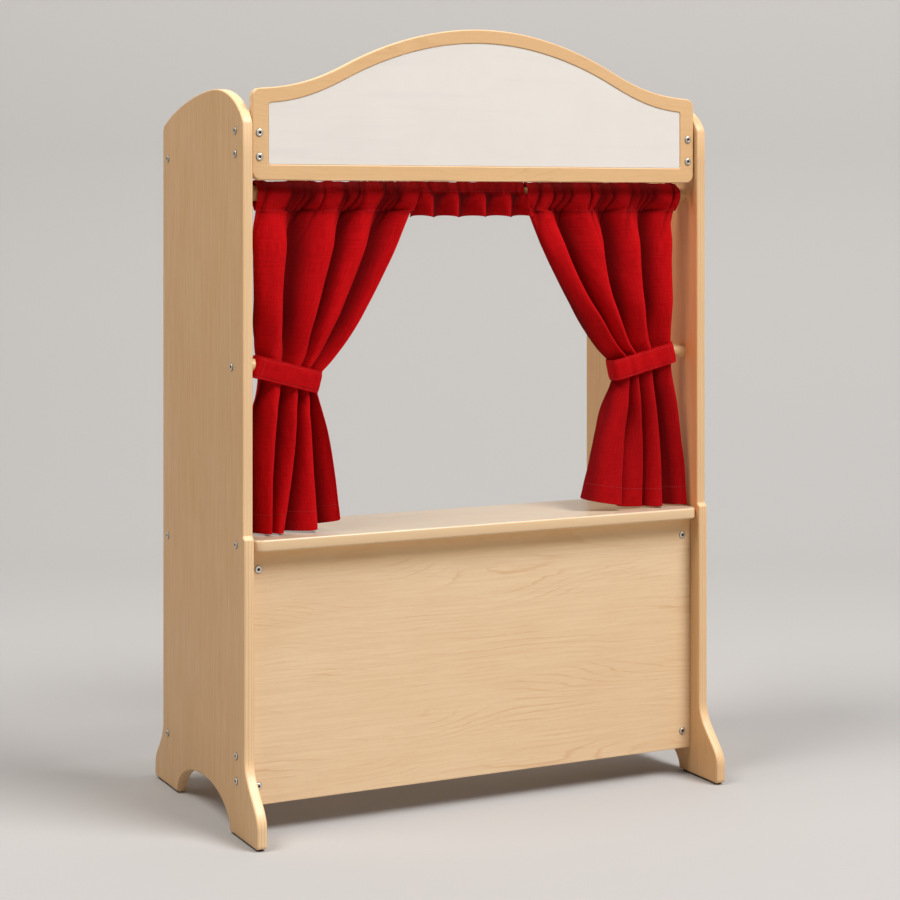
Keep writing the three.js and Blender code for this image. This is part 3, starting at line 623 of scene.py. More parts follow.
def makeSides():
    for (word, sign), material in zip(bothSides, (sideWoodLeft, sideWoodRight)):
        middle = at(sign * (innerX + outerX) / 2, 0, 0)
        board = makeBoard("side_board_" + word, [sideOutline()], outerX - innerX, side["edgeRound"],
                          facingSide, middle)
        mouth = at(sign * (innerX - 3), rod["y"], rod["z"])
        drill(board, rod["socketRadius"], mouth, at(sign * rod["socketBottom"], rod["y"], rod["z"]))
        settle(board, "stand", ["side_panel_" + word], material)


makeSides()
print("sides made")

header = {
    "face": 7.8, "thickness": 15, "bottom": 1045.7, "endTop": 1193, "crownTop": 1300, "half": 415,
    "corner": 15, "bandSide": 28, "bandBottom": 25.5, "bandTop": 23.5, "windowCorner": 4,
    "edgeRound": 2, "boardRecess": 1.2, "boardThickness": 3, "fit": 0.3, "boardRound": 0.4, "steps": 20,
}
crownShares = {
    "end": (0.964, 0), "footPull": (0.795, 0.04), "waistPull": (0.699, 0.2), "waist": (0.581, 0.44),
    "shoulderPull": (0.446, 0.7), "topPull": (0.241, 1),
}


def headerOutline(half, bottom, drop, corner):
    rise = header["crownTop"] - header["endTop"]
    end = header["endTop"] - drop

    def spot(sign, key):
        x, z = crownShares[key]
        return sign * x * header["half"], end + z * rise

    endX = min(crownShares["end"][0] * header["half"], half - corner)
    line = startOutline(-half + corner, bottom)
    lineTo(line, half - corner, bottom)
    roundTo(line, half, bottom, half, bottom + corner)
    lineTo(line, half, end - corner)
    roundTo(line, half, end, endX, end)
    curveTo(line, *spot(1, "footPull"), *spot(1, "waistPull"), *spot(1, "waist"))
    curveTo(line, *spot(1, "shoulderPull"), *spot(1, "topPull"), 0, header["crownTop"] - drop)
    curveTo(line, *spot(-1, "topPull"), *spot(-1, "shoulderPull"), *spot(-1, "waist"))
    curveTo(line, *spot(-1, "waistPull"), *spot(-1, "footPull"), -endX, end)
    roundTo(line, -half, end, -half, end - corner)
    lineTo(line, -half, bottom + corner)
    roundTo(line, -half, bottom, -half + corner, bottom)
    return closeOutline(line)


def makeWhiteboard():
    material, tree, shader = newMaterial("marker board white")
    place = objectPlace(tree)
    used = useGroup(tree, handling, Vector=place)
    wipe = noiseAt(tree, place, (2.5, 1, 38), detail=3, distortion=0.4)
    ghost = remap(tree, wipe, 0.5, 0.72)  # what is left of wiped drawings
    color = blendColors(tree, times(tree, used["Blotch"], 0.5),
                        fromRgb(235, 229, 221), fromRgb(230, 223, 214))
    color = blendColors(tree, times(tree, ghost, 0.10), color, fromRgb(198, 194, 192))
    peel = noiseAt(tree, place, (160, 160, 160), detail=1)
    dress(tree, shader, {
        "Base Color": color, "Roughness": plus(tree, times(tree, ghost, 0.12), 0.3),
        "Coat Weight": 0.25, "Coat Roughness": 0.12, "Normal": bump(tree, peel, 0.00003, 0.4)})
    return material


def makeHeader():
    h = header
    windowHalf = h["half"] - h["bandSide"]
    windowBottom = h["bottom"] + h["bandBottom"]

    def windowOutline(inset):
        return headerOutline(windowHalf - inset, windowBottom + inset, h["bandTop"] + inset,
                             h["windowCorner"])

    def fillBoard(name, face, thickness, gap=0):
        return makeBoard(name, [windowOutline(h["fit"])], thickness - gap, h["boardRound"], facingFront,
                         at(0, face + thickness / 2, 0), h["steps"])

    outline = headerOutline(h["half"], h["bottom"], 0, h["corner"])
    board = makeBoard("header_board", [outline, windowOutline(0)], h["thickness"], h["edgeRound"],
                      facingFront, at(0, h["face"] + h["thickness"] / 2, 0), h["steps"])
    settle(board, "stand", ["header_frame"], headerWood)
    boardY = h["face"] + h["boardRecess"]
    white = fillBoard("white_board", boardY, h["boardThickness"])
    settle(white, "stand", ["marker_board"], makeWhiteboard())
    backY = boardY + h["boardThickness"]
    back = fillBoard("board_backing", backY, h["face"] + h["thickness"] - backY, 0.1)
    settle(back, "stand", ["header_backing"], railWood)


makeHeader()
print("header made")

shelf = {
    "top": 475.2, "thickness": 19, "front": -6, "rear": 182, "corner": 18, "rearCorner": 4, "edgeRound": 3.4,
}
front = {"face": 21, "thickness": 12, "bottom": 48.8, "top": 456.2, "corner": 1.2, "edgeRound": 1}


def rectangle(y0, y1, corner, rear):  # as wide as the room between the sides
    x0, x1 = -barHalf, barHalf
    line = startOutline(x0 + corner, y0)
    lineTo(line, x1 - corner, y0)
    roundTo(line, x1, y0, x1, y0 + corner)
    lineTo(line, x1, y1 - rear)
    roundTo(line, x1, y1, x1 - rear, y1)
    lineTo(line, x0 + rear, y1)
    roundTo(line, x0, y1, x0, y1 - rear)
    lineTo(line, x0, y0 + corner)
    roundTo(line, x0, y0, x0 + corner, y0)
    return closeOutline(line)


def makeShelfAndFront():
    outline = rectangle(shelf["front"], shelf["rear"], shelf["corner"], shelf["rearCorner"])
    middle = at(0, 0, shelf["top"] - shelf["thickness"] / 2)
    board = makeBoard("shelf_board", [outline], shelf["thickness"], shelf["edgeRound"], facingUp, middle)
    settle(board, "stand", ["counter_shelf"], shelfWood)
    outline = rectangle(front["bottom"], front["top"], front["corner"], front["corner"])
    panel = makeBoard("front_board", [outline], front["thickness"], front["edgeRound"], facingFront,
                      at(0, front["face"] + front["thickness"] / 2, 0))
    settle(panel, "stand", ["front_panel"], panelWood)


makeShelfAndFront()

# battens: how far back, and their bottom and top; rails: their bottom
bars = {
    "edgeRound": 1.6, "segments": 3, "battenWidth": 30, "battenDepth": 18, "railFace": 350, "railDepth": 18,
    "railHeight": 60, "battens": (("header_cleat", 22.8, 1060, 1150), ("panel_cleat", 33, 62, 440)),
    "rails": (("top", 1057), ("middle", 385), ("bottom", 63)),
}


def makeBar(name, low, high, material, node):
    bm = bmesh.new()
    bmesh.ops.create_cube(bm, size=1)
    bmesh.ops.scale(bm, vec=high - low, verts=bm.verts)
    bmesh.ops.translate(bm, vec=(low + high) / 2, verts=bm.verts)
    bmesh.ops.bevel(bm, geom=bm.edges[:], offset=bars["edgeRound"] * 0.001, segments=bars["segments"],
                    profile=0.5, affect="EDGES", material=-1)
    settle(finishMesh(bm, name, math.radians(50)), "stand", [node], material)


def makeBars():
    for word, sign in bothSides:
        x0, x1 = sorted((sign * (innerX - 0.05), sign * (innerX - bars["battenWidth"])))
        for name, y, bottom, top in bars["battens"]:
            node = name + "_" + word
            low, high = at(x0, y, bottom), at(x1, y + bars["battenDepth"], top)
            makeBar(node + "_batten", low, high, cleatWood, node)
    y = bars["railFace"]
    for level, bottom in bars["rails"]:
        node = "rear_rail_" + level
        low, high = at(-barHalf, y, bottom), at(barHalf, y + bars["railDepth"], bottom + bars["railHeight"])
        makeBar(node + "_bar", low, high, railWood, node)


makeBars()
print("shelf, front, battens and rails made")

# Round pieces: a profile turned about its axis


def turnProfile(profile, steps):  # (radius, height) pairs in millimetres, about Z
    bm = bmesh.new()
    verts = [bm.verts.new((radius * 0.001, 0, height * 0.001)) for radius, height in profile]
    edges = [bm.edges.new(pair) for pair in zip(verts, verts[1:])]
    bmesh.ops.spin(bm, geom=verts + edges, cent=(0, 0, 0), axis=(0, 0, 1), angle=math.tau,
                   steps=steps, use_merge=True)
    bmesh.ops.remove_doubles(bm, verts=bm.verts, dist=1e-6)
    bmesh.ops.dissolve_degenerate(bm, dist=1e-7, edges=bm.edges)
    bmesh.ops.recalc_face_normals(bm, faces=bm.faces)
    return bm


def quarter(steps, first=0):  # cosine and sine round a quarter turn
    turns = [k / steps * math.pi / 2 for k in range(first, steps + 1)]
    return [(math.cos(turn), math.sin(turn)) for turn in turns]


def lay(bm, direction, place):  # turns a piece made along Z to another direction
    turn = Vector((0, 0, 1)).rotation_difference(Vector(direction)).to_matrix()
    bmesh.ops.rotate(bm, matrix=turn, verts=bm.verts)
    bmesh.ops.translate(bm, vec=place, verts=bm.verts)


def makeRod():
    reach, radius, chamfer = rod["reach"], rod["radius"], rod["chamfer"]
    profile = [(0, -reach), (radius - chamfer, -reach), (radius, chamfer - reach)]
    profile += [(radius, z) for z in range(-400, 401, 50)]
    profile += [(radius, reach - chamfer), (radius - chamfer, reach), (0, reach)]
    bm = turnProfile(profile, rod["steps"])
    lay(bm, (1, 0, 0), at(0, rod["y"], rod["z"]))
    settle(finishMesh(bm, "rod_dowel"), "rod", ["curtain_rod"], dowelWood)


peg = {"radius": 12, "reach": 26, "tipRound": 4, "y": 47.6, "z": 747.6, "steps": 40}


def makePegs():
    tip, radius, reach = peg["tipRound"], peg["radius"], peg["reach"]
    for word, sign in bothSides:
        profile = [(0, 0.05), (radius, 0.05), (radius, reach - tip)]
        profile += [(radius - tip + tip * c, reach - tip + tip * s) for c, s in quarter(6, 1)]
        profile.append((0, reach + 0.2))
        bm = turnProfile(profile, peg["steps"])
        lay(bm, (-sign, 0, 0), at(sign * innerX, peg["y"], peg["z"]))
        piece = finishMesh(bm, "tieback_dowel_" + word)
        settle(piece, "stand", ["tieback_peg_" + word], dowelWood)


# a domed head with a six-sided socket: the dome goes from domeIn to domeOut, domeDrop high
screw = {
    "head": 6.3, "height": 2.2, "socket": 2.5, "socketDepth": 2.0, "domeIn": 3.1, "domeOut": 5.8,
    "domeDrop": 1.25, "rim": 0.6, "shank": 2.2, "point": 3, "steps": 36,
}


def screwProfile(length):
    top, socket, head = screw["height"], screw["socket"], screw["head"]
    flat = top - screw["socketDepth"]
    profile = [(0, flat - 0.25), (socket - 0.15, flat), (socket, flat + 0.1), (socket, top - 0.4),
               (socket + 0.3, top - 0.1)]
    drop, across = screw["domeDrop"], screw["domeOut"] - screw["domeIn"]
    profile += [(screw["domeIn"] + across * s, top - drop + drop * c) for c, s in quarter(8)]
    profile += [(head - 0.1, screw["rim"] + 0.15), (head, screw["rim"]), (head, 0.15), (head - 0.15, 0.02)]
    return profile + [(screw["shank"], 0.02), (screw["shank"], screw["point"] - length), (0, -length)]


def makeScrew(node, length, direction, place, spin):
    name, flat = node + "_head", screw["height"] - screw["socketDepth"]
    bm = turnProfile(screwProfile(length), screw["steps"])
    ring = bm.loops.layers.uv.new("ring")  # how far from the axis: the socket and the rim get painted shade
    for face in bm.faces:
        middle = face.calc_center_median()
        inside = math.hypot(middle.x, middle.y) * 1000 < screw["socket"] + 0.02
        for loop in face.loops:
            radius = math.hypot(loop.vert.co.x, loop.vert.co.y) * 1000
            loop[ring].uv = (min(radius, screw["socket"]) / 10 if inside else radius / 10, 0.0)
    for vert in bm.verts:  # the socket is six-sided
        radius = math.hypot(vert.co.x, vert.co.y) * 1000
        if 0.5 < radius < screw["socket"] + 0.2 and vert.co.z * 1000 > flat - 0.3:
            turn = math.atan2(vert.co.y, vert.co.x) % (math.pi / 3) - math.pi / 6
            reach = math.cos(math.pi / 6) / math.cos(turn)
            vert.co.x *= reach
            vert.co.y *= reach
    bmesh.ops.rotate(bm, matrix=Matrix.Rotation(spin, 3, "Z"), verts=bm.verts)
    lay(bm, direction, place)
    settle(finishMesh(bm, name, math.radians(28)), "stand", [node], screwSteel)


def makeSteel():
    material, tree, shader = newMaterial("screw steel")
    place = objectPlace(tree)
    used = useGroup(tree, handling, Vector=place)
    brushed = noiseAt(tree, place, (1800, 1800, 1800), detail=2)
    ring = tree.nodes.new("ShaderNodeUVMap")
    ring.uv_map = "ring"
    split = parts(tree, ring.outputs["UV"])
    # painted shade: a dark socket recess and a dark ring at the head's rim, where shadow falls
    socket = remap(tree, split[0], 0.252, 0.275, 1.0, 0.0)
    rim = remap(tree, split[0], 0.54, 0.61, 0.0, 0.85)
    paintedRecessShade = calc(tree, "MAXIMUM", socket, rim)
    color = blendColors(tree, used["Blotch"], fromRgb(220, 215, 206), fromRgb(202, 196, 186))
    color = blendColors(tree, paintedRecessShade, color, fromRgb(44, 40, 36))
    polish = remap(tree, brushed, 0.3, 0.7, 0.26, 0.4)
    dress(tree, shader, {
        "Base Color": color, "Metallic": minus(tree, 1.0, times(tree, paintedRecessShade, 0.7)),
        "Roughness": plus(tree, polish, times(tree, paintedRecessShade, 0.3)),
        "Normal": bump(tree, brushed, 0.00001, 0.3)})
    return material


screwSteel = makeSteel()

# the sides' screws: how far back, how high and how long; the front ones also how far from the middle
sideScrews = {
    "header_upper": (32, 1125, 28), "header_lower": (32, 1088, 28), "peg": (47.6, 747.6, 36),
    "shelf": (28, 465.7, 43), "panel_upper": (27, 130, 43), "panel_lower": (27, 90, 43),
    "rail_top": (359, 1087, 43), "rail_middle": (359, 435, 43), "rail_bottom": (359, 93, 43),
}
frontScrews = {
    "header_screw_upper": (403, 7.8, 1121.5, 23), "header_screw_lower": (403, 7.8, 1083, 23),
    "panel_screw_upper": (400, 21, 425, 27), "panel_screw_lower": (400, 21, 79, 27),
}


def makeScrews():
    dice = random.Random(4)  # how far each socket is turned
    for word, sign in bothSides:
        for name, (y, z, length) in sideScrews.items():
            node = "side_screw_" + word + "_" + name
            makeScrew(node, length, (sign, 0, 0), at(sign * outerX, y, z), dice.uniform(0, 1))
        for name, (x, y, z, length) in frontScrews.items():
            makeScrew(name + "_" + word, length, (0, -1, 0), at(sign * x, y, z), dice.uniform(0, 1))


makeRod()
makePegs()
makeScrews()
print("rod, pegs and screws made")


def finishCadNodes():  # the pads under the feet and the pins inside the rails keep their solids
    material, tree, shader = newMaterial("pad rubber")
    place = objectPlace(tree)
    used = useGroup(tree, handling, Vector=place)
    grit = noiseAt(tree, place, (1200, 1200, 1200), detail=2)
    color = blendColors(tree, used["Blotch"], fromRgb(46, 43, 41), fromRgb(66, 62, 58))
    dress(tree, shader, {
        "Base Color": blendColors(tree, used["Specks"], color, fromRgb(120, 114, 106)),
        "Roughness": 0.85, "Normal": bump(tree, grit, 0.00008, 0.5)})
    for name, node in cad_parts.items():
        if name.startswith(("foot_pad", "rail_pin")):
            node.data.materials.clear()
            node.data.materials.append(material if name.startswith("foot_pad") else dowelWood)


finishCadNodes()

# Cloth


def makeCloth():
    material, tree, shader = newMaterial("curtain cloth")
    flat = tree.nodes.new("ShaderNodeUVMap")
    flat.uv_map = "cut"
    threads = useGroup(tree, weave, Vector=flat.outputs["UV"])
    used = useGroup(tree, handling, Vector=vectorCalc(tree, "MULTIPLY", flat.outputs["UV"], (1.6, 1.6, 1)))
    color = blendColors(tree, threads["Thread"], cloth["warp"], cloth["weft"])
    color = blendColors(tree, times(tree, threads["Slub"], 0.3), color, cloth["slub"])
    color = blendColors(tree, times(tree, used["Blotch"], 0.2), color, cloth["faded"])
    fold = tree.nodes.new("ShaderNodeAttribute")  # painted shade: the cloth is darker deep in its folds, where shade falls
    fold.attribute_name = "fold"
    color = blendColors(tree, times(tree, fold.outputs["Fac"], 0.75), color, cloth["deep"])
    relief = plus(tree, threads["Height"], times(tree, threads["Slub"], 0.8))
    dress(tree, shader, {
        "Base Color": color, "Roughness": 0.82, "Specular IOR Level": 0.08, "Sheen Weight": cloth["sheen"],
        "Sheen Roughness": 0.4, "Sheen Tint": (1.0, 0.25, 0.22, 1.0),
        "Normal": bump(tree, relief, 0.00022, 0.8)})
    return material


def makeThread():
    material, tree, shader = newMaterial("stitch thread")
    place = objectPlace(tree)
    twist = noiseAt(tree, place, (2500, 2500, 2500), detail=1)
    dress(tree, shader, {
        "Base Color": blendColors(tree, twist, fromRgb(176, 30, 34), fromRgb(150, 12, 18)),
        "Roughness": 0.6, "Normal": bump(tree, twist, 0.00008, 0.6)})
    return material


# the darkest red here is painted shade, mixed in deep in the folds
cloth = {
    "warp": fromRgb(198, 4, 12), "weft": fromRgb(183, 3, 8), "slub": fromRgb(232, 22, 30),
    "faded": fromRgb(202, 11, 17), "deep": fromRgb(78, 1, 4), "sheen": 0.025, "thickness": 0.9,
}
thread = {"step": 3.4, "radius": 0.5, "stretch": 2.5, "lift": 0.55}
redCloth = makeCloth()
redThread = makeThread()

# A curtain's edges are (share of the way down, distance from the middle) pairs, from the stitched
# heading to the band and from the band to the hem. Its crests are the folds' fronts, one line each:
# how far along the cloth they are at these rows, where the heading is 0, the band 1 and the hem 2.
crestRows = {3: (0, 1, 2), 10: (0, 0.14, 0.35, 0.6, 0.8, 1, 1.1, 1.3, 1.6, 2)}
curtain = {
    "columns": 220, "top": 1045.8, "stitch": 998, "bandHalf": 18, "peg": 747.6, "hem": 478,
    "hemStitch": 29, "swell": 6.2, "headingFold": 2.6, "stitchFold": 9, "drapeFold": 21,
    "waistFold": 10.6, "skirtFold": 17, "lean": 0.6, "turned": 0.16, "pocketReach": 13.6,
    "rows": {"back": 12, "pocket": 24, "drape": 64, "band": 8, "skirt": 58}, "hemRows": 4,
    "topWaves": (55, 19, 3.6, 0.4), "clearReach": 24, "leastFold": 0.24, "endFade": 0.06,
    # this line sets the fold depths over which painted shade grows
    "deepFrom": 4, "deepTo": 28,
}
# How uneven the curtains are: the folds' course and depth, the heading, the seam, the hem, the whole
crumple = {
    "wander": 0.22, "smallWander": 0.12, "vary": 0.16, "pleat": 1.6, "swellVary": 1.5, "creasePull": 1.6,
    "creasePush": 2.6, "headingFine": 0.35, "headingSmall": 1.2, "seamPush": 3.2, "seamBack": 1.2,
    "seamDip": 0.8, "pucker": 1.1, "seamSmall": 1.5, "hemRidge": 0.8, "hemStep": 0.4,
    "broad": 0.9, "small": 0.7, "fine": 0.3,
}
hang = {
    "left": {
        "sign": -1, "seed": 3.7, "forward": 2, "heading": 398, "headingInner": (109, 117),
        # the last key here is extra painted shade on the skirt
        "endBulge": 0, "hemRise": 17, "skirtShade": 0.0,
        "outer": [(0, 396), (0.14, 400), (0.3, 400), (0.5, 398), (0.7, 395), (0.85, 393), (1, 391)],
        "inner": [(0, 122), (0.035, 127), (0.306, 164.5), (0.567, 202), (0.8, 239.5), (0.93, 265), (1, 283)],
        "skirtOuter": [(0, 393), (0.15, 396), (0.4, 399), (1, 400)],
        "skirtInner": [(0, 291), (0.116, 284.5), (0.335, 273.5), (0.61, 263.5), (1, 254)],
        "crests": ((0.075, 0.09, 0.086, 0.098, 0.142, 0.23, 0.287, 0.209, 0.16, 0.152),
                   (0.472, 0.477, 0.48, 0.485, 0.514, 0.613, 0.609, 0.516, 0.416, 0.26),
                   (0.7, 0.711, 0.715, 0.719, 0.725, 0.78, 0.823, 0.714, 0.656, 0.625),
                   (1.0, 1.0, 1.0)),
        "gathers": (0.035, 0.2, 0.232, 0.266, 0.31, 0.4, 0.52, 0.555, 0.6, 0.645, 0.77, 0.805, 0.845, 0.885),
        "fade": (0.5, 0.0), "bandOuter": 399, "bandInner": 287, "bandInnerZ": 717.6,
    },
    "right": {
        "sign": 1, "seed": 11.3, "forward": 12, "heading": 401, "headingInner": (97.5, 97),
        # the last key here is extra painted shade on the skirt
        "endBulge": 5.5, "hemRise": 27, "skirtShade": 0.42,
        "outer": [(0, 396), (0.14, 389), (0.35, 384), (0.6, 384), (0.85, 385), (1, 386)],
        "inner": [(0, 102), (0.243, 129.5), (0.506, 171), (0.72, 209), (0.92, 246), (1, 268)],
        "skirtOuter": [(0, 386), (0.15, 389), (0.4, 397), (0.7, 405), (1, 409)],
        "skirtInner": [(0, 277), (0.053, 273), (0.2, 261), (0.45, 244), (0.75, 226.5), (1, 212)],
        "crests": ((0.06, 0.08, -0.02),
                   (0.329, 0.328, 0.35, 0.391, 0.404, 0.41, 0.42, 0.374, 0.336, 0.328),
                   (0.622, 0.615, 0.661, 0.69, 0.678, 0.655, 0.65, 0.574, 0.499, 0.488),
                   (0.928, 0.93, 0.932, 0.915, 0.873, 0.819, 0.825, 0.8, 0.825, 0.78),
                   (1.25, 1.22, 1.3)),
        "gathers": (0.06, 0.198, 0.231, 0.27, 0.3, 0.337, 0.455, 0.508, 0.548, 0.6, 0.743, 0.79, 0.84, 0.95),
        "fade": (0.52, 0.9), "bandOuter": 393.5, "bandInner": 270, "bandInnerZ": 718,
    },
}


def zoneRows(zone, steps, power=1):  # (zone, share of the way down it) pairs
    return [(zone, (k / steps) ** power) for k in range(1, steps + 1)]


def headingRows(steps):  # up the back of the pocket and down its front
    back = [("back", 1 - k / steps["back"]) for k in range(steps["back"] + 1)]
    return back + [("pocket", 0.0)] + zoneRows("pocket", steps["pocket"])


def curtainRows():
    steps, finer = curtain["rows"], curtain["hemRows"]  # the last rows of the hem are four times as close
    plain = steps["skirt"] - finer
    rows = headingRows(steps) + zoneRows("drape", steps["drape"], 1.15) + zoneRows("band", steps["band"])
    rows += zoneRows("skirt", steps["skirt"])[:plain]
    return rows + [("skirt", (plain + k / 4) / steps["skirt"]) for k in range(1, finer * 4 + 1)]


def pocketHalf(z, stitch, top):  # half the pocket's thickness: straight up to the rod and round it
    reach = curtain["pocketReach"]
    lowTouch = rod["z"] - reach * reach / (rod["z"] - stitch)
    highTouch = rod["z"] + reach * reach / (top - rod["z"])
    if z < lowTouch:
        wide = math.sqrt(reach * reach - (rod["z"] - lowTouch) ** 2)
        return max(wide * (z - stitch) / (lowTouch - stitch), 0.7)
    if z > highTouch:
        wide = math.sqrt(reach * reach - (highTouch - rod["z"]) ** 2)
        return max(wide * (top - z) / (top - highTouch), 0.7)
    return math.sqrt(reach * reach - (z - rod["z"]) ** 2)


def makeCreases(places, lean, seed):  # tight gathers of a heading, a few millimetres wide each
    dice = random.Random(int(seed * 10))
    return [(u, dice.uniform(0.008, 0.017), dice.uniform(0.6, 1.2), lean * dice.uniform(2, 11),
             dice.uniform(0, 1)) for u in places]


def creaseDepth(creases, u, z):
    total = 0.0
    for place, width, depth, slant, low in creases:
        up = (z - curtain["stitch"]) / 48
        middle = place + slant * 0.0045 * up
        total += depth * hump(u, middle, width * (1 + 0.5 * up)) * (1 - low * ease(up, 0.4, 1.1))
    return min(total, 1.2)


def foldPlaces(own, row):  # (share along the cloth, number of the fold) pairs at this height
    crests = [glide(list(zip(crestRows[len(line)], line)), row) for line in own["crests"]]
    first = crests[0] - max(crests[1] - crests[0], curtain["leastFold"])
    last = 2 * crests[-1] - crests[-2]
    before = 2 * first - crests[0]
    return [(before, -2), (first, -1), *((u, k) for k, u in enumerate(crests)),
            (last, len(crests)), (2 * last - crests[-1], len(crests) + 1)]


def foldWave(own, places, u, row):
    seed = own["seed"]
    wander = crumple["wander"] * rough(u * 3.4 + seed, row * 1.3)
    wander += crumple["smallWander"] * rough(u * 8 + seed, row * 3.1, 5.0)
    return math.tau * glide(places, u) + wander


def raggedTop(waves, seed, u, down):  # the pocket's upper edge is wavy and dips here and there
    fine, broad, dip, start = waves
    return (1 - down) ** 3 * (1.1 * rough(u * fine, seed) - dip * max(rough(u * broad + seed, start), 0))


def swellRoom(half):  # the cloth swells less where the pocket is flat
    return min(half / 9 + 0.12, 1)


def awayFromEnds(u, width):  # 0 at both ends of a row, 1 between
    return ease(u, 0, width) * ease(1 - u, 0, width)


def rowOf(zone, down):  # the heading is row 0, the band 1 and the hem 2
    return {"drape": down, "band": 1 + down * 0.1, "skirt": 1.1 + 0.9 * down}.get(zone, 0.0)


def headingPoint(own, creases, places, u, zone, down):  # the pocket round the rod
    c, w, seed = curtain, crumple, own["seed"]
    z = mix(c["top"], c["stitch"], down)
    wave = foldWave(own, places, u, 0.0)
    x = own["heading"] - u * (own["heading"] - mix(*own["headingInner"], down))
    half = pocketHalf(z, c["stitch"], c["top"])
    clear = min(abs(z - rod["z"]) / c["clearReach"], 1) ** 1.6
    centre = -(c["stitchFold"] if down > 0.5 else c["headingFold"]) * math.cos(wave) * clear
    fullness, room = c["swell"] + w["swellVary"] * rough(u * 9 + seed, down * 2, 2.0), swellRoom(half)
    if zone == "pocket":
        crease = creaseDepth(creases, u, z)
        slope = creaseDepth(creases, u + 0.006, z) - creaseDepth(creases, u - 0.006, z)
        x -= w["creasePull"] * slope
        y = rod["y"] + centre - half - max(fullness * (1 - crease) * room, 0)
        y += w["creasePush"] * crease * clear + w["headingFine"] * rough(u * 40, z * 0.1, seed)
        y += w["headingSmall"] * clear * rough(u * 24 + seed, down * 0.6, 6.5)
    else:
        crease = creaseDepth(creases, 0.97 - u * 0.95, z)
        y = rod["y"] + centre + half + max(0.6 * fullness * (1 - crease) * room, 0)
    z += raggedTop(c["topWaves"], seed, u, down)
    x -= own["endBulge"] * ease(u, 0.93, 1.0) * (1 - abs(2 * down - 1)) * (zone == "pocket")
    # painted shade: darker towards the top, where the header shades the pocket, in the creases and in the
    # valleys
    valleyShade = ease(1 - math.cos(wave), 0.5, 1.8)
    deep = min(0.62 * ease(1 - down, 0.1, 1.0) + 0.75 * crease + 0.42 * valleyShade, 1)
    return (x, y, z), (deep, deep)


def hangingEdges(own, zone, down):  # the outer edge's place and height, the inner edge's, the folds' depth
    c = curtain
    outerTie, innerTie, half = c["peg"], own["bandInnerZ"], c["bandHalf"]
    if zone == "drape":
        fold = mix(c["stitchFold"], c["drapeFold"], ease(down, -0.06, 0.3))
        return (glide(own["outer"], down), mix(c["stitch"], outerTie + half, down),
                glide(own["inner"], down), mix(c["stitch"], innerTie + half, down),
                mix(fold, c["waistFold"], ease(down, 0.66, 1.0)))
    if zone == "band":
        along = mix(half, -half, down)
        return (mix(own["outer"][-1][1], own["skirtOuter"][0][1], down), outerTie + along,
                mix(own["inner"][-1][1], own["skirtInner"][0][1], down), innerTie + along, c["waistFold"])
    return (glide(own["skirtOuter"], down), mix(outerTie - half, c["hem"], down),
            glide(own["skirtInner"], down), mix(innerTie - half, c["hem"] + own["hemRise"], down),
            mix(c["waistFold"], c["skirtFold"], ease(down, 0.0, 0.3)))


def curtainPoint(own, creases, places, u, zone, down):  # its place, and how much painted shade it gets in the folds
    if zone in ("back", "pocket"):
        return headingPoint(own, creases, places, u, zone, down)
    c, w, seed, row = curtain, crumple, own["seed"], rowOf(zone, down)
    outer, zOuter, inner, zInner, fold = hangingEdges(own, zone, down)
    forward, leaning = 0.0, 1
    if zone == "drape":
        leaning = mix(0.55, 1.0, ease(down, 0, 0.3))
    if zone == "skirt":
        fold *= 1 - own["fade"][1] * hump(u, own["fade"][0], 0.12) * ease(down, 0.1, 0.7)
        forward = own["forward"] * down ** 1.4
    wave = foldWave(own, places, u, row)
    width = outer - inner
    probe = 0.02
    folds = (glide(places, u + probe) - glide(places, u - probe)) / (2 * probe)
    lean = c["lean"] * width / (math.tau * folds) * leaning
    over = c["turned"] * width / folds * min(mix(0.5, 1.0, fold / c["drapeFold"]), 1)
    if zone == "drape":
        over *= mix(0.35, 1.0, ease(down, 0, 0.25))
    shift = -lean * math.sin(wave) + own["sign"] * over * math.cos(wave)
    x = outer - u * width + shift * awayFromEnds(u, c["endFade"])
    fold *= 1 + w["vary"] * rough(u * 3.1 + seed, row * 0.8, 3.0)
    y = rod["y"] - forward - fold * math.cos(wave)
    z = mix(zOuter, zInner, u ** (mix(1, 5, down ** 2) if zone == "skirt" else 1))
    near = {"drape": hump(row, 1.0, 0.3), "skirt": hump(down, 0, 0.34)}.get(zone, 1.0)
    y -= near * w["pleat"] * math.cos(2 * wave + 0.8 + 1.5 * rough(row * 3, seed))  # pleats by the band
    if zone == "drape":
        crease = creaseDepth(creases, u, zOuter)
        y += math.exp(-down * 7.0) * (w["seamPush"] * crease - w["seamBack"])
        y -= w["seamDip"] * hump(down, 0, 0.012)
        y += w["pucker"] * hump(down, 0, 0.022) * rough(u * 110 + seed, 0.0)
        y += math.exp(-down * 4.5) * w["seamSmall"] * rough(u * 24 + seed, 0.6 + down, 6.5)
    y += w["broad"] * rough(u * 7 + seed, row * 2.2, 9.0) + w["small"] * rough(u * 21, row * 6 + seed, 4.0)
    y += w["fine"] * rough(u * 47 + seed, row * 9, 1.0)
    if zone == "skirt":
        height = (1 - down) * (c["peg"] - c["bandHalf"] - c["hem"])
        y += w["hemRidge"] * hump(height, c["hemStitch"] - 1, 1.6)
        y -= w["hemStep"] * ease(height, c["hemStitch"], c["hemStitch"] - 3)
    # painted shade in the fold valleys, plus an even amount on the right skirt and a thin line under the seam
    frontShade, rearShade = (ease(fold * (1 + way * math.cos(wave)), c["deepFrom"], c["deepTo"]) for way in (-1, 1))
    moreShade = own["skirtShade"] if zone == "skirt" else 0.0
    if zone == "drape":
        moreShade = 0.6 * hump(down, 0, 0.15) * crease + 0.4 * hump(down, 0.012, 0.012)
    return (x, y, z), (min(frontShade + moreShade, 1), rearShade)


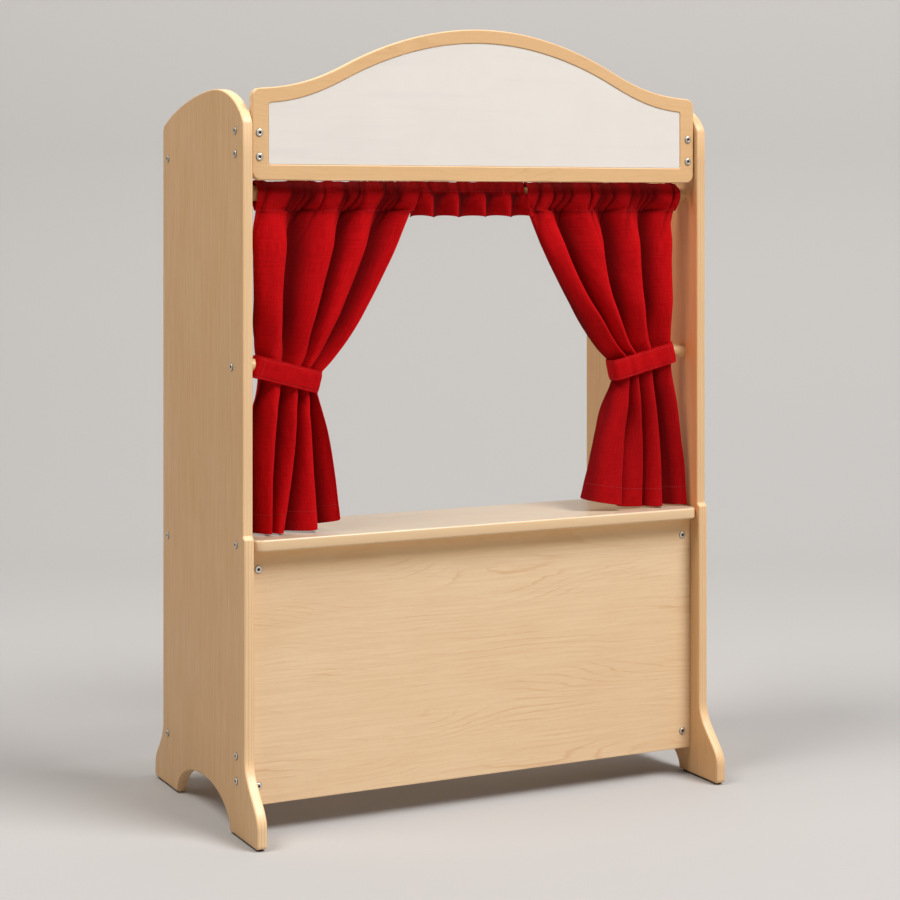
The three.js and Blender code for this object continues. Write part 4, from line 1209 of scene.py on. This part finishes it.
def sewSheet(name, spots, cutWidth, flip, shades=None):  # a grid of cloth laid on the given rows of points
    last, columns = len(spots) - 1, len(spots[0]) - 1
    bm = bmesh.new()
    bmesh.ops.create_grid(bm, x_segments=columns, y_segments=last, size=1)
    lengths = [0.0]
    for j in range(1, last + 1):
        lengths.append(lengths[-1] + (spots[j][columns // 2] - spots[j - 1][columns // 2]).length)
    layUv = bm.loops.layers.uv.new("cut")
    # how much painted fold shade each point gets, seen from the front and from behind
    seen, unseen = (bm.verts.layers.float.new(label) for label in ("fold", "foldShadeBehind"))
    grid = {vert: (round((vert.co.x + 1) / 2 * columns), round((1 - vert.co.y) / 2 * last))
            for vert in bm.verts}
    for vert, (i, j) in grid.items():
        vert.co = spots[j][i]
        # without given shades the sheet takes an even, light painted shade
        vert[seen], vert[unseen] = shades[j][i] if shades else (0.14, 0.14)
    for face in bm.faces:
        for loop in face.loops:
            i, j = grid[loop.vert]
            loop[layUv].uv = (i / columns * cutWidth, lengths[j])
    if flip:
        bmesh.ops.reverse_faces(bm, faces=bm.faces)
    across = [sum((row[i] - row[i - 1]).length for i in range(1, columns + 1)) for row in spots[::16]]
    print(name, "length", round(lengths[-1], 3), "across", [round(a, 3) for a in across])
    return bm


def thicken(piece, thickness):
    shell = piece.modifiers.new("thickness", "SOLIDIFY")
    shell.thickness = thickness * 0.001
    shell.offset = 0


def shadeBehind(piece):  # gives the cloth a thickness; its rear face takes the painted fold shade seen from behind
    count = len(piece.data.vertices)
    applyModifiers(piece)
    mesh = piece.data
    verts, fold, behind = mesh.vertices, mesh.attributes["fold"], mesh.attributes["foldShadeBehind"]
    second = sum(verts[k + count].co.y - verts[k].co.y for k in range(count)) > 0
    for k in range(count):
        rear = k + count if second else k
        fold.data[rear].value = behind.data[rear].value
    mesh.attributes.remove(mesh.attributes["foldShadeBehind"])


def mirrored(own, spot):
    return own["sign"] * spot[0], spot[1], spot[2]


clothCut = {"width": 0.37, "length": 0.62}


def makeCurtain(word):
    own = hang[word]
    creases, rows = makeCreases(own["gathers"], -own["sign"], own["seed"]), curtainRows()
    spots, shades, columns = [], [], curtain["columns"]
    for zone, down in rows:
        places = foldPlaces(own, rowOf(zone, down))
        line = [curtainPoint(own, creases, places, i / columns, zone, down) for i in range(columns + 1)]
        spots.append([at(*mirrored(own, spot)) for spot, shade in line])
        shades.append([shade for spot, shade in line])
    bm = sewSheet("curtain " + word, spots, clothCut["width"], own["sign"] > 0, shades)
    piece = finishMesh(bm, "curtain_cloth_" + word, math.pi)
    thicken(piece, cloth["thickness"])
    shadeBehind(piece)
    settle(piece, word + "_curtain", ["curtain_" + word], redCloth)
    return piece, spots, rows


def makeStitches(name, lines, body, step=thread["step"]):  # thread along lines of points on the cloth
    bm = bmesh.new()
    for points in lines:
        travel, gap = 0.0, step * 0.001
        for k in range(1, len(points)):
            a, b = points[k - 1], points[k]
            part = b - a
            while travel < part.length:
                middle = a + part * (travel / part.length)
                turn = Vector((1, 0, 0)).rotation_difference(part.normalized()).to_matrix().to_4x4()
                stretch = Matrix.Diagonal((thread["stretch"], 1.0, 1.0, 1.0))
                bmesh.ops.create_icosphere(bm, subdivisions=1, radius=thread["radius"] * 0.001,
                                           matrix=Matrix.Translation(middle) @ turn @ stretch)
                travel += gap
            travel -= part.length
    piece = finishMesh(bm, name, math.pi)
    piece.data.materials.append(redThread)
    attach(piece, body)
    return piece


def rowLine(spots, rows, zone, down):  # the points of one row, lifted off the cloth's front
    j = min((abs(row[1] - down), k) for k, row in enumerate(rows) if row[0] == zone)[1]
    return [spot + Vector((0, -thread["lift"] * 0.001, 0)) for spot in spots[j]]


def makeCurtains():
    hemShare = 1 - curtain["hemStitch"] / (curtain["peg"] - curtain["bandHalf"] - curtain["hem"])
    for word in ("left", "right"):
        piece, spots, rows = makeCurtain(word)
        lines = [rowLine(spots, rows, "pocket", 1.0), rowLine(spots, rows, "skirt", hemShare)]
        stitches = makeStitches("curtain_stitches_" + word, lines, word + "_curtain")


makeCurtains()
print("curtains made")

valance = {
    "middleTop": -11, "middleSeam": -10, "middleBottom": -8, "top": 103, "seam": 107.5,
    "bottomHalf": 112.5, "stitch": 1006, "bottom": 986, "crest": -88, "ruffle": 48, "gather": 0.42,
    "front": 19.5, "fold": 10, "seed": 21.0, "columns": 220, "cut": (0.26, 0.13), "creases": 19,
    # the first key on this line caps the painted shade
    "deepest": 1.25, "rows": {"back": 10, "pocket": 20}, "ruffleRows": 14, "topWaves": (40, 14, 3.4, 3.4),
    "swell": 3.0, "swellVary": 1.4, "endFade": 0.08, "endOut": 2.5, "bottomY": 8,
}


def pleatShade(wave):  # painted shade: dark just past a fold's edge, then paler up to the next
    past = (wave / math.tau) % 1.0
    return ease(past, 0.02, 0.1) * ease(1 - past, 0.2, 0.76)


def pleatWave(x, u):
    return math.tau * (x - valance["crest"]) / valance["ruffle"] + 1.0 * rough(u * 4.3, valance["seed"])


def leanOver(wave, u):  # the folds lean to one side, but not at the ends
    return (1.5 * math.cos(wave) - 1.4 * math.sin(wave)) * awayFromEnds(u, valance["endFade"])


def valanceHeading(creases, u, zone, down):
    v, seed, front = valance, valance["seed"], zone == "pocket"
    loose = ease(down, v["gather"], 0.78)
    reach = mix(v["top"] - 3 * ease(down, 0, v["gather"]), v["seam"], loose)
    x = mix(v["middleTop"], v["middleSeam"], loose) + reach * (2 * u - 1)
    z = mix(curtain["top"], v["stitch"], down)
    wave, half = pleatWave(x, u), pocketHalf(z, v["stitch"], curtain["top"])
    crease = creaseDepth(creases, u if front else 0.98 - 0.96 * u, z)
    swell = v["swell"] + v["swellVary"] * rough(u * 9 + seed, down * 2)
    furthest = half + max(swell * (1 - crease) * swellRoom(half), 0)
    hanging = ease(down, v["gather"] - 0.06, v["gather"] + 0.2)
    pleat = mix(furthest, max(v["front"], furthest), hanging) - furthest
    y = rod["y"] + furthest
    if front:
        y = rod["y"] - furthest - pleat * 0.5 * (1 + math.cos(wave))
        x += loose * leanOver(wave, u)
    x += v["endOut"] * ease(u, 0.9, 1.0) * (1 - ease(down, 0, 0.3))
    z += raggedTop(v["topWaves"], seed, u, down)
    # painted shade: darker towards the top under the header, in the creases and just past each fold's edge
    valleyShade = pleatShade(wave) * ease(down, v["gather"] - 0.05, v["gather"] + 0.2)
    deep = 0.55 * ease(1 - down, 0.2, 1.0) + 0.4 * crease * (1 - loose) + v["deepest"] * valleyShade
    return (x, y, z), (min(deep, v["deepest"]), min(deep, v["deepest"]))


def valancePoint(creases, u, zone, down):
    v, seed = valance, valance["seed"]
    if zone in ("back", "pocket"):
        return valanceHeading(creases, u, zone, down)
    loose = ease(down, 0, 0.9)
    x = mix(v["middleSeam"], v["middleBottom"], down) + mix(v["seam"], v["bottomHalf"], down) * (2 * u - 1)
    wave = pleatWave(x, u)
    fold = mix((v["front"] - 0.7) / 2, v["fold"], loose) * (1 + 0.3 * down * rough(u * 6 + seed, 7.0))
    x += mix(1, 1.4, down) * leanOver(wave, u)
    crease = creaseDepth(creases, u, curtain["stitch"] + 12 * (1 - down))
    y = rod["y"] - mix((v["front"] + 0.7) / 2, v["bottomY"], loose) - fold * math.cos(wave)
    y += 0.5 * down * rough(u * 17, down, seed) + 0.4 * crease
    z = mix(v["stitch"], v["bottom"], down)
    z += down * (1.5 - 1.5 * math.cos(wave - 1.2) + 1.3 * rough(u * 7, seed))
    return (x, y, z), (v["deepest"] * pleatShade(wave), pleatShade(wave + math.pi))


def makeValance():
    dice = random.Random(8)
    places = [(k + dice.uniform(0.1, 0.9)) / valance["creases"] for k in range(valance["creases"])]
    creases = [(u, width * 1.4, *others) for u, width, *others in makeCreases(places, 1, 2.1)]
    rows = headingRows(valance["rows"]) + zoneRows("ruffle", valance["ruffleRows"])
    columns = valance["columns"]
    lines = [[valancePoint(creases, i / columns, *row) for i in range(columns + 1)] for row in rows]
    spots = [[at(*spot) for spot, shade in line] for line in lines]
    shades = [[shade for spot, shade in line] for line in lines]
    piece = finishMesh(sewSheet("valance", spots, valance["cut"][0], False, shades), "valance_cloth", math.pi)
    thicken(piece, cloth["thickness"])
    shadeBehind(piece)
    settle(piece, "valance", ["valance"], redCloth)
    line = rowLine(spots, rows, "pocket", valance["gather"])
    stitches = makeStitches("valance_stitches", [line], "valance")


makeValance()

band = {
    "height": 36, "thickness": 1.8, "halfDepth": 15.8, "corner": 8, "around": 170, "up": 36,
    "seam": 3.2, "padding": 1.1, "cut": (0.285, 0.036), "hole": 12.35, "holeFrom": -12, "holeTo": 8,
    "edgeRound": 0.5, "cornerSteps": 10, "inset": 0.9, "foldShow": 0.8, "seamDip": 0.75, "broad": 0.5,
    "edgeWave": 0.4, "seamLift": 0.15, "overlap": (0.045, 0.955), "closing": (0.085, 0.915),
}


def bandLoop(own):  # the band's plan, once round from the middle of its outer end, front first
    outer, inner = own["bandOuter"] - band["inset"], own["bandInner"]
    half, corner = band["halfDepth"], band["corner"]
    plan = [(outer, 0.0)]
    for x, y, start in ((outer - corner, corner - half, 0), (inner + corner, corner - half, -90),
                        (inner + corner, half - corner, -180), (outer - corner, half - corner, -270)):
        for k in range(band["cornerSteps"] + 1):
            turn = math.radians(start - k * 90 / band["cornerSteps"])
            plan.append((x + corner * math.cos(turn), y + corner * math.sin(turn)))
    plan.append((outer, 0.0))
    travel = [0.0]
    for a, b in zip(plan, plan[1:]):
        travel.append(travel[-1] + math.dist(a, b))
    return plan, travel


def alongLoop(loop, share):  # the point there, and the way out
    plan, travel = loop
    goal = (share % 1.0) * travel[-1]
    k = max(i for i in range(len(plan) - 1) if travel[i] <= goal)
    while travel[k + 1] - travel[k] < 1e-9:
        k -= 1
    t = (goal - travel[k]) / (travel[k + 1] - travel[k])
    a, b = Vector(plan[k]), Vector(plan[k + 1])
    way = (b - a).normalized()
    return a.lerp(b, t), Vector((-way.y, way.x))


def bandPoint(own, loop, places, share, up, lift=0.0):
    spot, out = alongLoop(loop, share)
    inner, rise = own["bandInner"], curtain["peg"] - own["bandInnerZ"]
    slope = rise / (own["bandOuter"] - inner)
    u = (own["outer"][-1][1] - spot.x) / (own["outer"][-1][1] - inner)
    wave = foldWave(own, places, min(max(u, 0), 1), 1.0)
    front = ease(-out.y, 0.6, 1.0)
    puff = band["padding"] * (1 - abs(up) ** 4) + front * band["foldShow"] * math.cos(wave)
    puff -= band["seamDip"] * hump(abs(up) * band["height"] / 2, band["height"] / 2 - band["seam"], 0.8)
    turn = share % 1.0 * math.tau
    puff += band["broad"] * rough(3.5 * math.cos(turn) + own["seed"], 3.5 * math.sin(turn), up * 1.4)
    spot = spot + out * (puff + lift)
    tilt = math.atan(slope)
    along = up * band["height"] / 2
    x = spot.x - along * math.sin(tilt)
    z = own["bandInnerZ"] + (spot.x - inner) * slope + along * math.cos(tilt)
    z += band["edgeWave"] * rough(4 * math.cos(turn), 4 * math.sin(turn), up + own["seed"])
    return x, rod["y"] + spot.y, z


def makeBand(word):
    own = hang[word]
    loop, places = bandLoop(own), foldPlaces(own, 1.0)
    around, up = band["around"], band["up"]
    spots = [[at(*mirrored(own, bandPoint(own, loop, places, i / around, 1 - 2 * j / up)))
              for i in range(around + 1)] for j in range(up + 1)]
    bm = sewSheet("band " + word, spots, band["cut"][0], False)
    bmesh.ops.remove_doubles(bm, verts=bm.verts, dist=0.00001)
    bmesh.ops.recalc_face_normals(bm, faces=bm.faces)
    piece = finishMesh(bm, "tieback_band_" + word, math.pi)
    thicken(piece, band["thickness"])
    soften = piece.modifiers.new("edges", "BEVEL")
    soften.width = band["edgeRound"] * 0.001
    soften.segments = 2
    soften.limit_method = "ANGLE"
    soften.angle_limit = math.radians(50)
    applyModifiers(piece)
    start, end = (at(own["sign"] * (own["bandOuter"] + band[key]), peg["y"], peg["z"])
                  for key in ("holeFrom", "holeTo"))
    drill(piece, band["hole"], start, end)
    settle(piece, word + "_tieback", ["tieback_" + word], redCloth)

    def seam(share, up):
        lift = band["thickness"] / 2 + band["seamLift"]
        return at(*mirrored(own, bandPoint(own, loop, places, share, up, lift)))

    edge = 1 - 2 * band["seam"] / band["height"]
    lines = [[seam(mix(*band["overlap"], k / 220), height) for k in range(221)] for height in (edge, -edge)]
    lines += [[seam(share, mix(-edge, edge, k / 20)) for k in range(21)] for share in band["closing"]]
    stitches = makeStitches("tieback_stitches_" + word, lines, word + "_tieback", step=3.0)


makeBand("left")
makeBand("right")
print("valance and bands made")

# Floor, backdrop and light

room = {
    "floor": fromRgb(177, 175, 173), "wall": fromRgb(190, 188, 185), "paleFrom": 0.1, "paleTo": 1.25,
    "floorSize": 9.0, "wallDistance": 3.4, "wallHeight": 5.0, "bend": 1.2, "bendSteps": 12, "turn": -26.55,
}


def growEdge(bm, edges, step):  # pulls an open edge on, with a face behind it
    grown = bmesh.ops.extrude_edge_only(bm, edges=edges)["geom"]
    bmesh.ops.translate(bm, vec=step, verts=[g for g in grown if isinstance(g, bmesh.types.BMVert)])
    return [g for g in grown if isinstance(g, bmesh.types.BMEdge) and len(g.link_faces) == 1
            and abs(g.verts[0].co.x - g.verts[1].co.x) > 1]


def makePaper():
    material, tree, shader = newMaterial("studio paper")
    split = parts(tree, objectPlace(tree))
    # darker towards the floor: painted shade for the light falling off low on the paper
    higher = remap(tree, split[2], room["paleFrom"], room["paleTo"])
    dress(tree, shader, {
        "Base Color": blendColors(tree, higher, room["floor"], room["wall"]),
        "Roughness": 0.9, "Specular IOR Level": 0.1})
    ray = tree.nodes.new("ShaderNodeLightPath")  # a camera behind the wall looks through it
    rear = tree.nodes.new("ShaderNodeNewGeometry")
    clear = tree.nodes.new("ShaderNodeBsdfTransparent")
    swap = tree.nodes.new("ShaderNodeMixShader")
    plug(tree, swap.inputs[0], times(tree, ray.outputs["Is Camera Ray"], rear.outputs["Backfacing"]))
    plug(tree, swap.inputs[1], shader.outputs[0])
    plug(tree, swap.inputs[2], clear.outputs[0])
    plug(tree, tree.nodes["Material Output"].inputs["Surface"], swap.outputs[0])
    return material


def makeStudio():
    bm = bmesh.new()
    half, bend, steps = room["floorSize"], room["bend"], room["bendSteps"]
    corners = [bm.verts.new((x, -half, 0)) for x in (-half, half)]
    edges = growEdge(bm, [bm.edges.new(corners)], (0, half + room["wallDistance"] - bend, 0))
    for k in range(steps):
        lower, upper = k / steps * math.pi / 2, (k + 1) / steps * math.pi / 2
        rise = math.cos(lower) - math.cos(upper)
        edges = growEdge(bm, edges, Vector((0, math.sin(upper) - math.sin(lower), rise)) * bend)
    growEdge(bm, edges, (0, 0, room["wallHeight"]))
    turn = Matrix.Rotation(math.radians(room["turn"]), 3, "Z")
    bmesh.ops.rotate(bm, matrix=turn, verts=bm.verts)
    bmesh.ops.reverse_faces(bm, faces=bm.faces)  # up, and towards the stand
    floor = finishMesh(bm, "studio_floor", math.pi)
    floor.data.materials.append(makePaper())


lamps = {
    "key": {"place": (2.8, -4.8, 7.8), "size": 4.6, "power": 945, "color": (1.0, 0.993, 1.0)},
    "fill": {"place": (-3.4, -0.4, 6.2), "size": 3.4, "power": 318, "color": (1.0, 0.975, 0.942)},
    "back": {"place": (0.6, 3.2, 3.0), "size": 4.0, "power": 20, "color": (1.0, 0.99, 0.98)},
}
lampAim = (0, 0, 0.7)
sky = {"color": (1.0, 0.965, 0.93), "strength": 0.03, "seen": 0.595}


def makeLights():
    for name, look in lamps.items():
        data = bpy.data.lights.new(name, "AREA")
        data.shape = "DISK"
        data.size = look["size"]
        data.energy = look["power"]
        data.color = look["color"]
        lamp = newObject(name + "_light", data)
        lamp.location = look["place"]
        aim = Vector(lampAim) - Vector(look["place"])
        lamp.rotation_euler = aim.to_track_quat("-Z", "Y").to_euler()
    world = bpy.data.worlds.new("studio")
    world.use_nodes = True
    tree = world.node_tree
    shade = tree.nodes["Background"]
    shade.inputs["Color"].default_value = (*sky["color"], 1)
    ray = tree.nodes.new("ShaderNodeLightPath")  # the camera, metal and lacquer see a brighter room
    seen = calc(tree, "MAXIMUM", ray.outputs["Is Glossy Ray"], ray.outputs["Is Camera Ray"])
    plug(tree, shade.inputs["Strength"], remap(tree, seen, 0, 1, sky["strength"], sky["seen"], "LINEAR"))
    bpy.context.scene.world = world
    bpy.context.scene.view_settings.view_transform = "Standard"


makeStudio()
makeLights()
print("studio made")
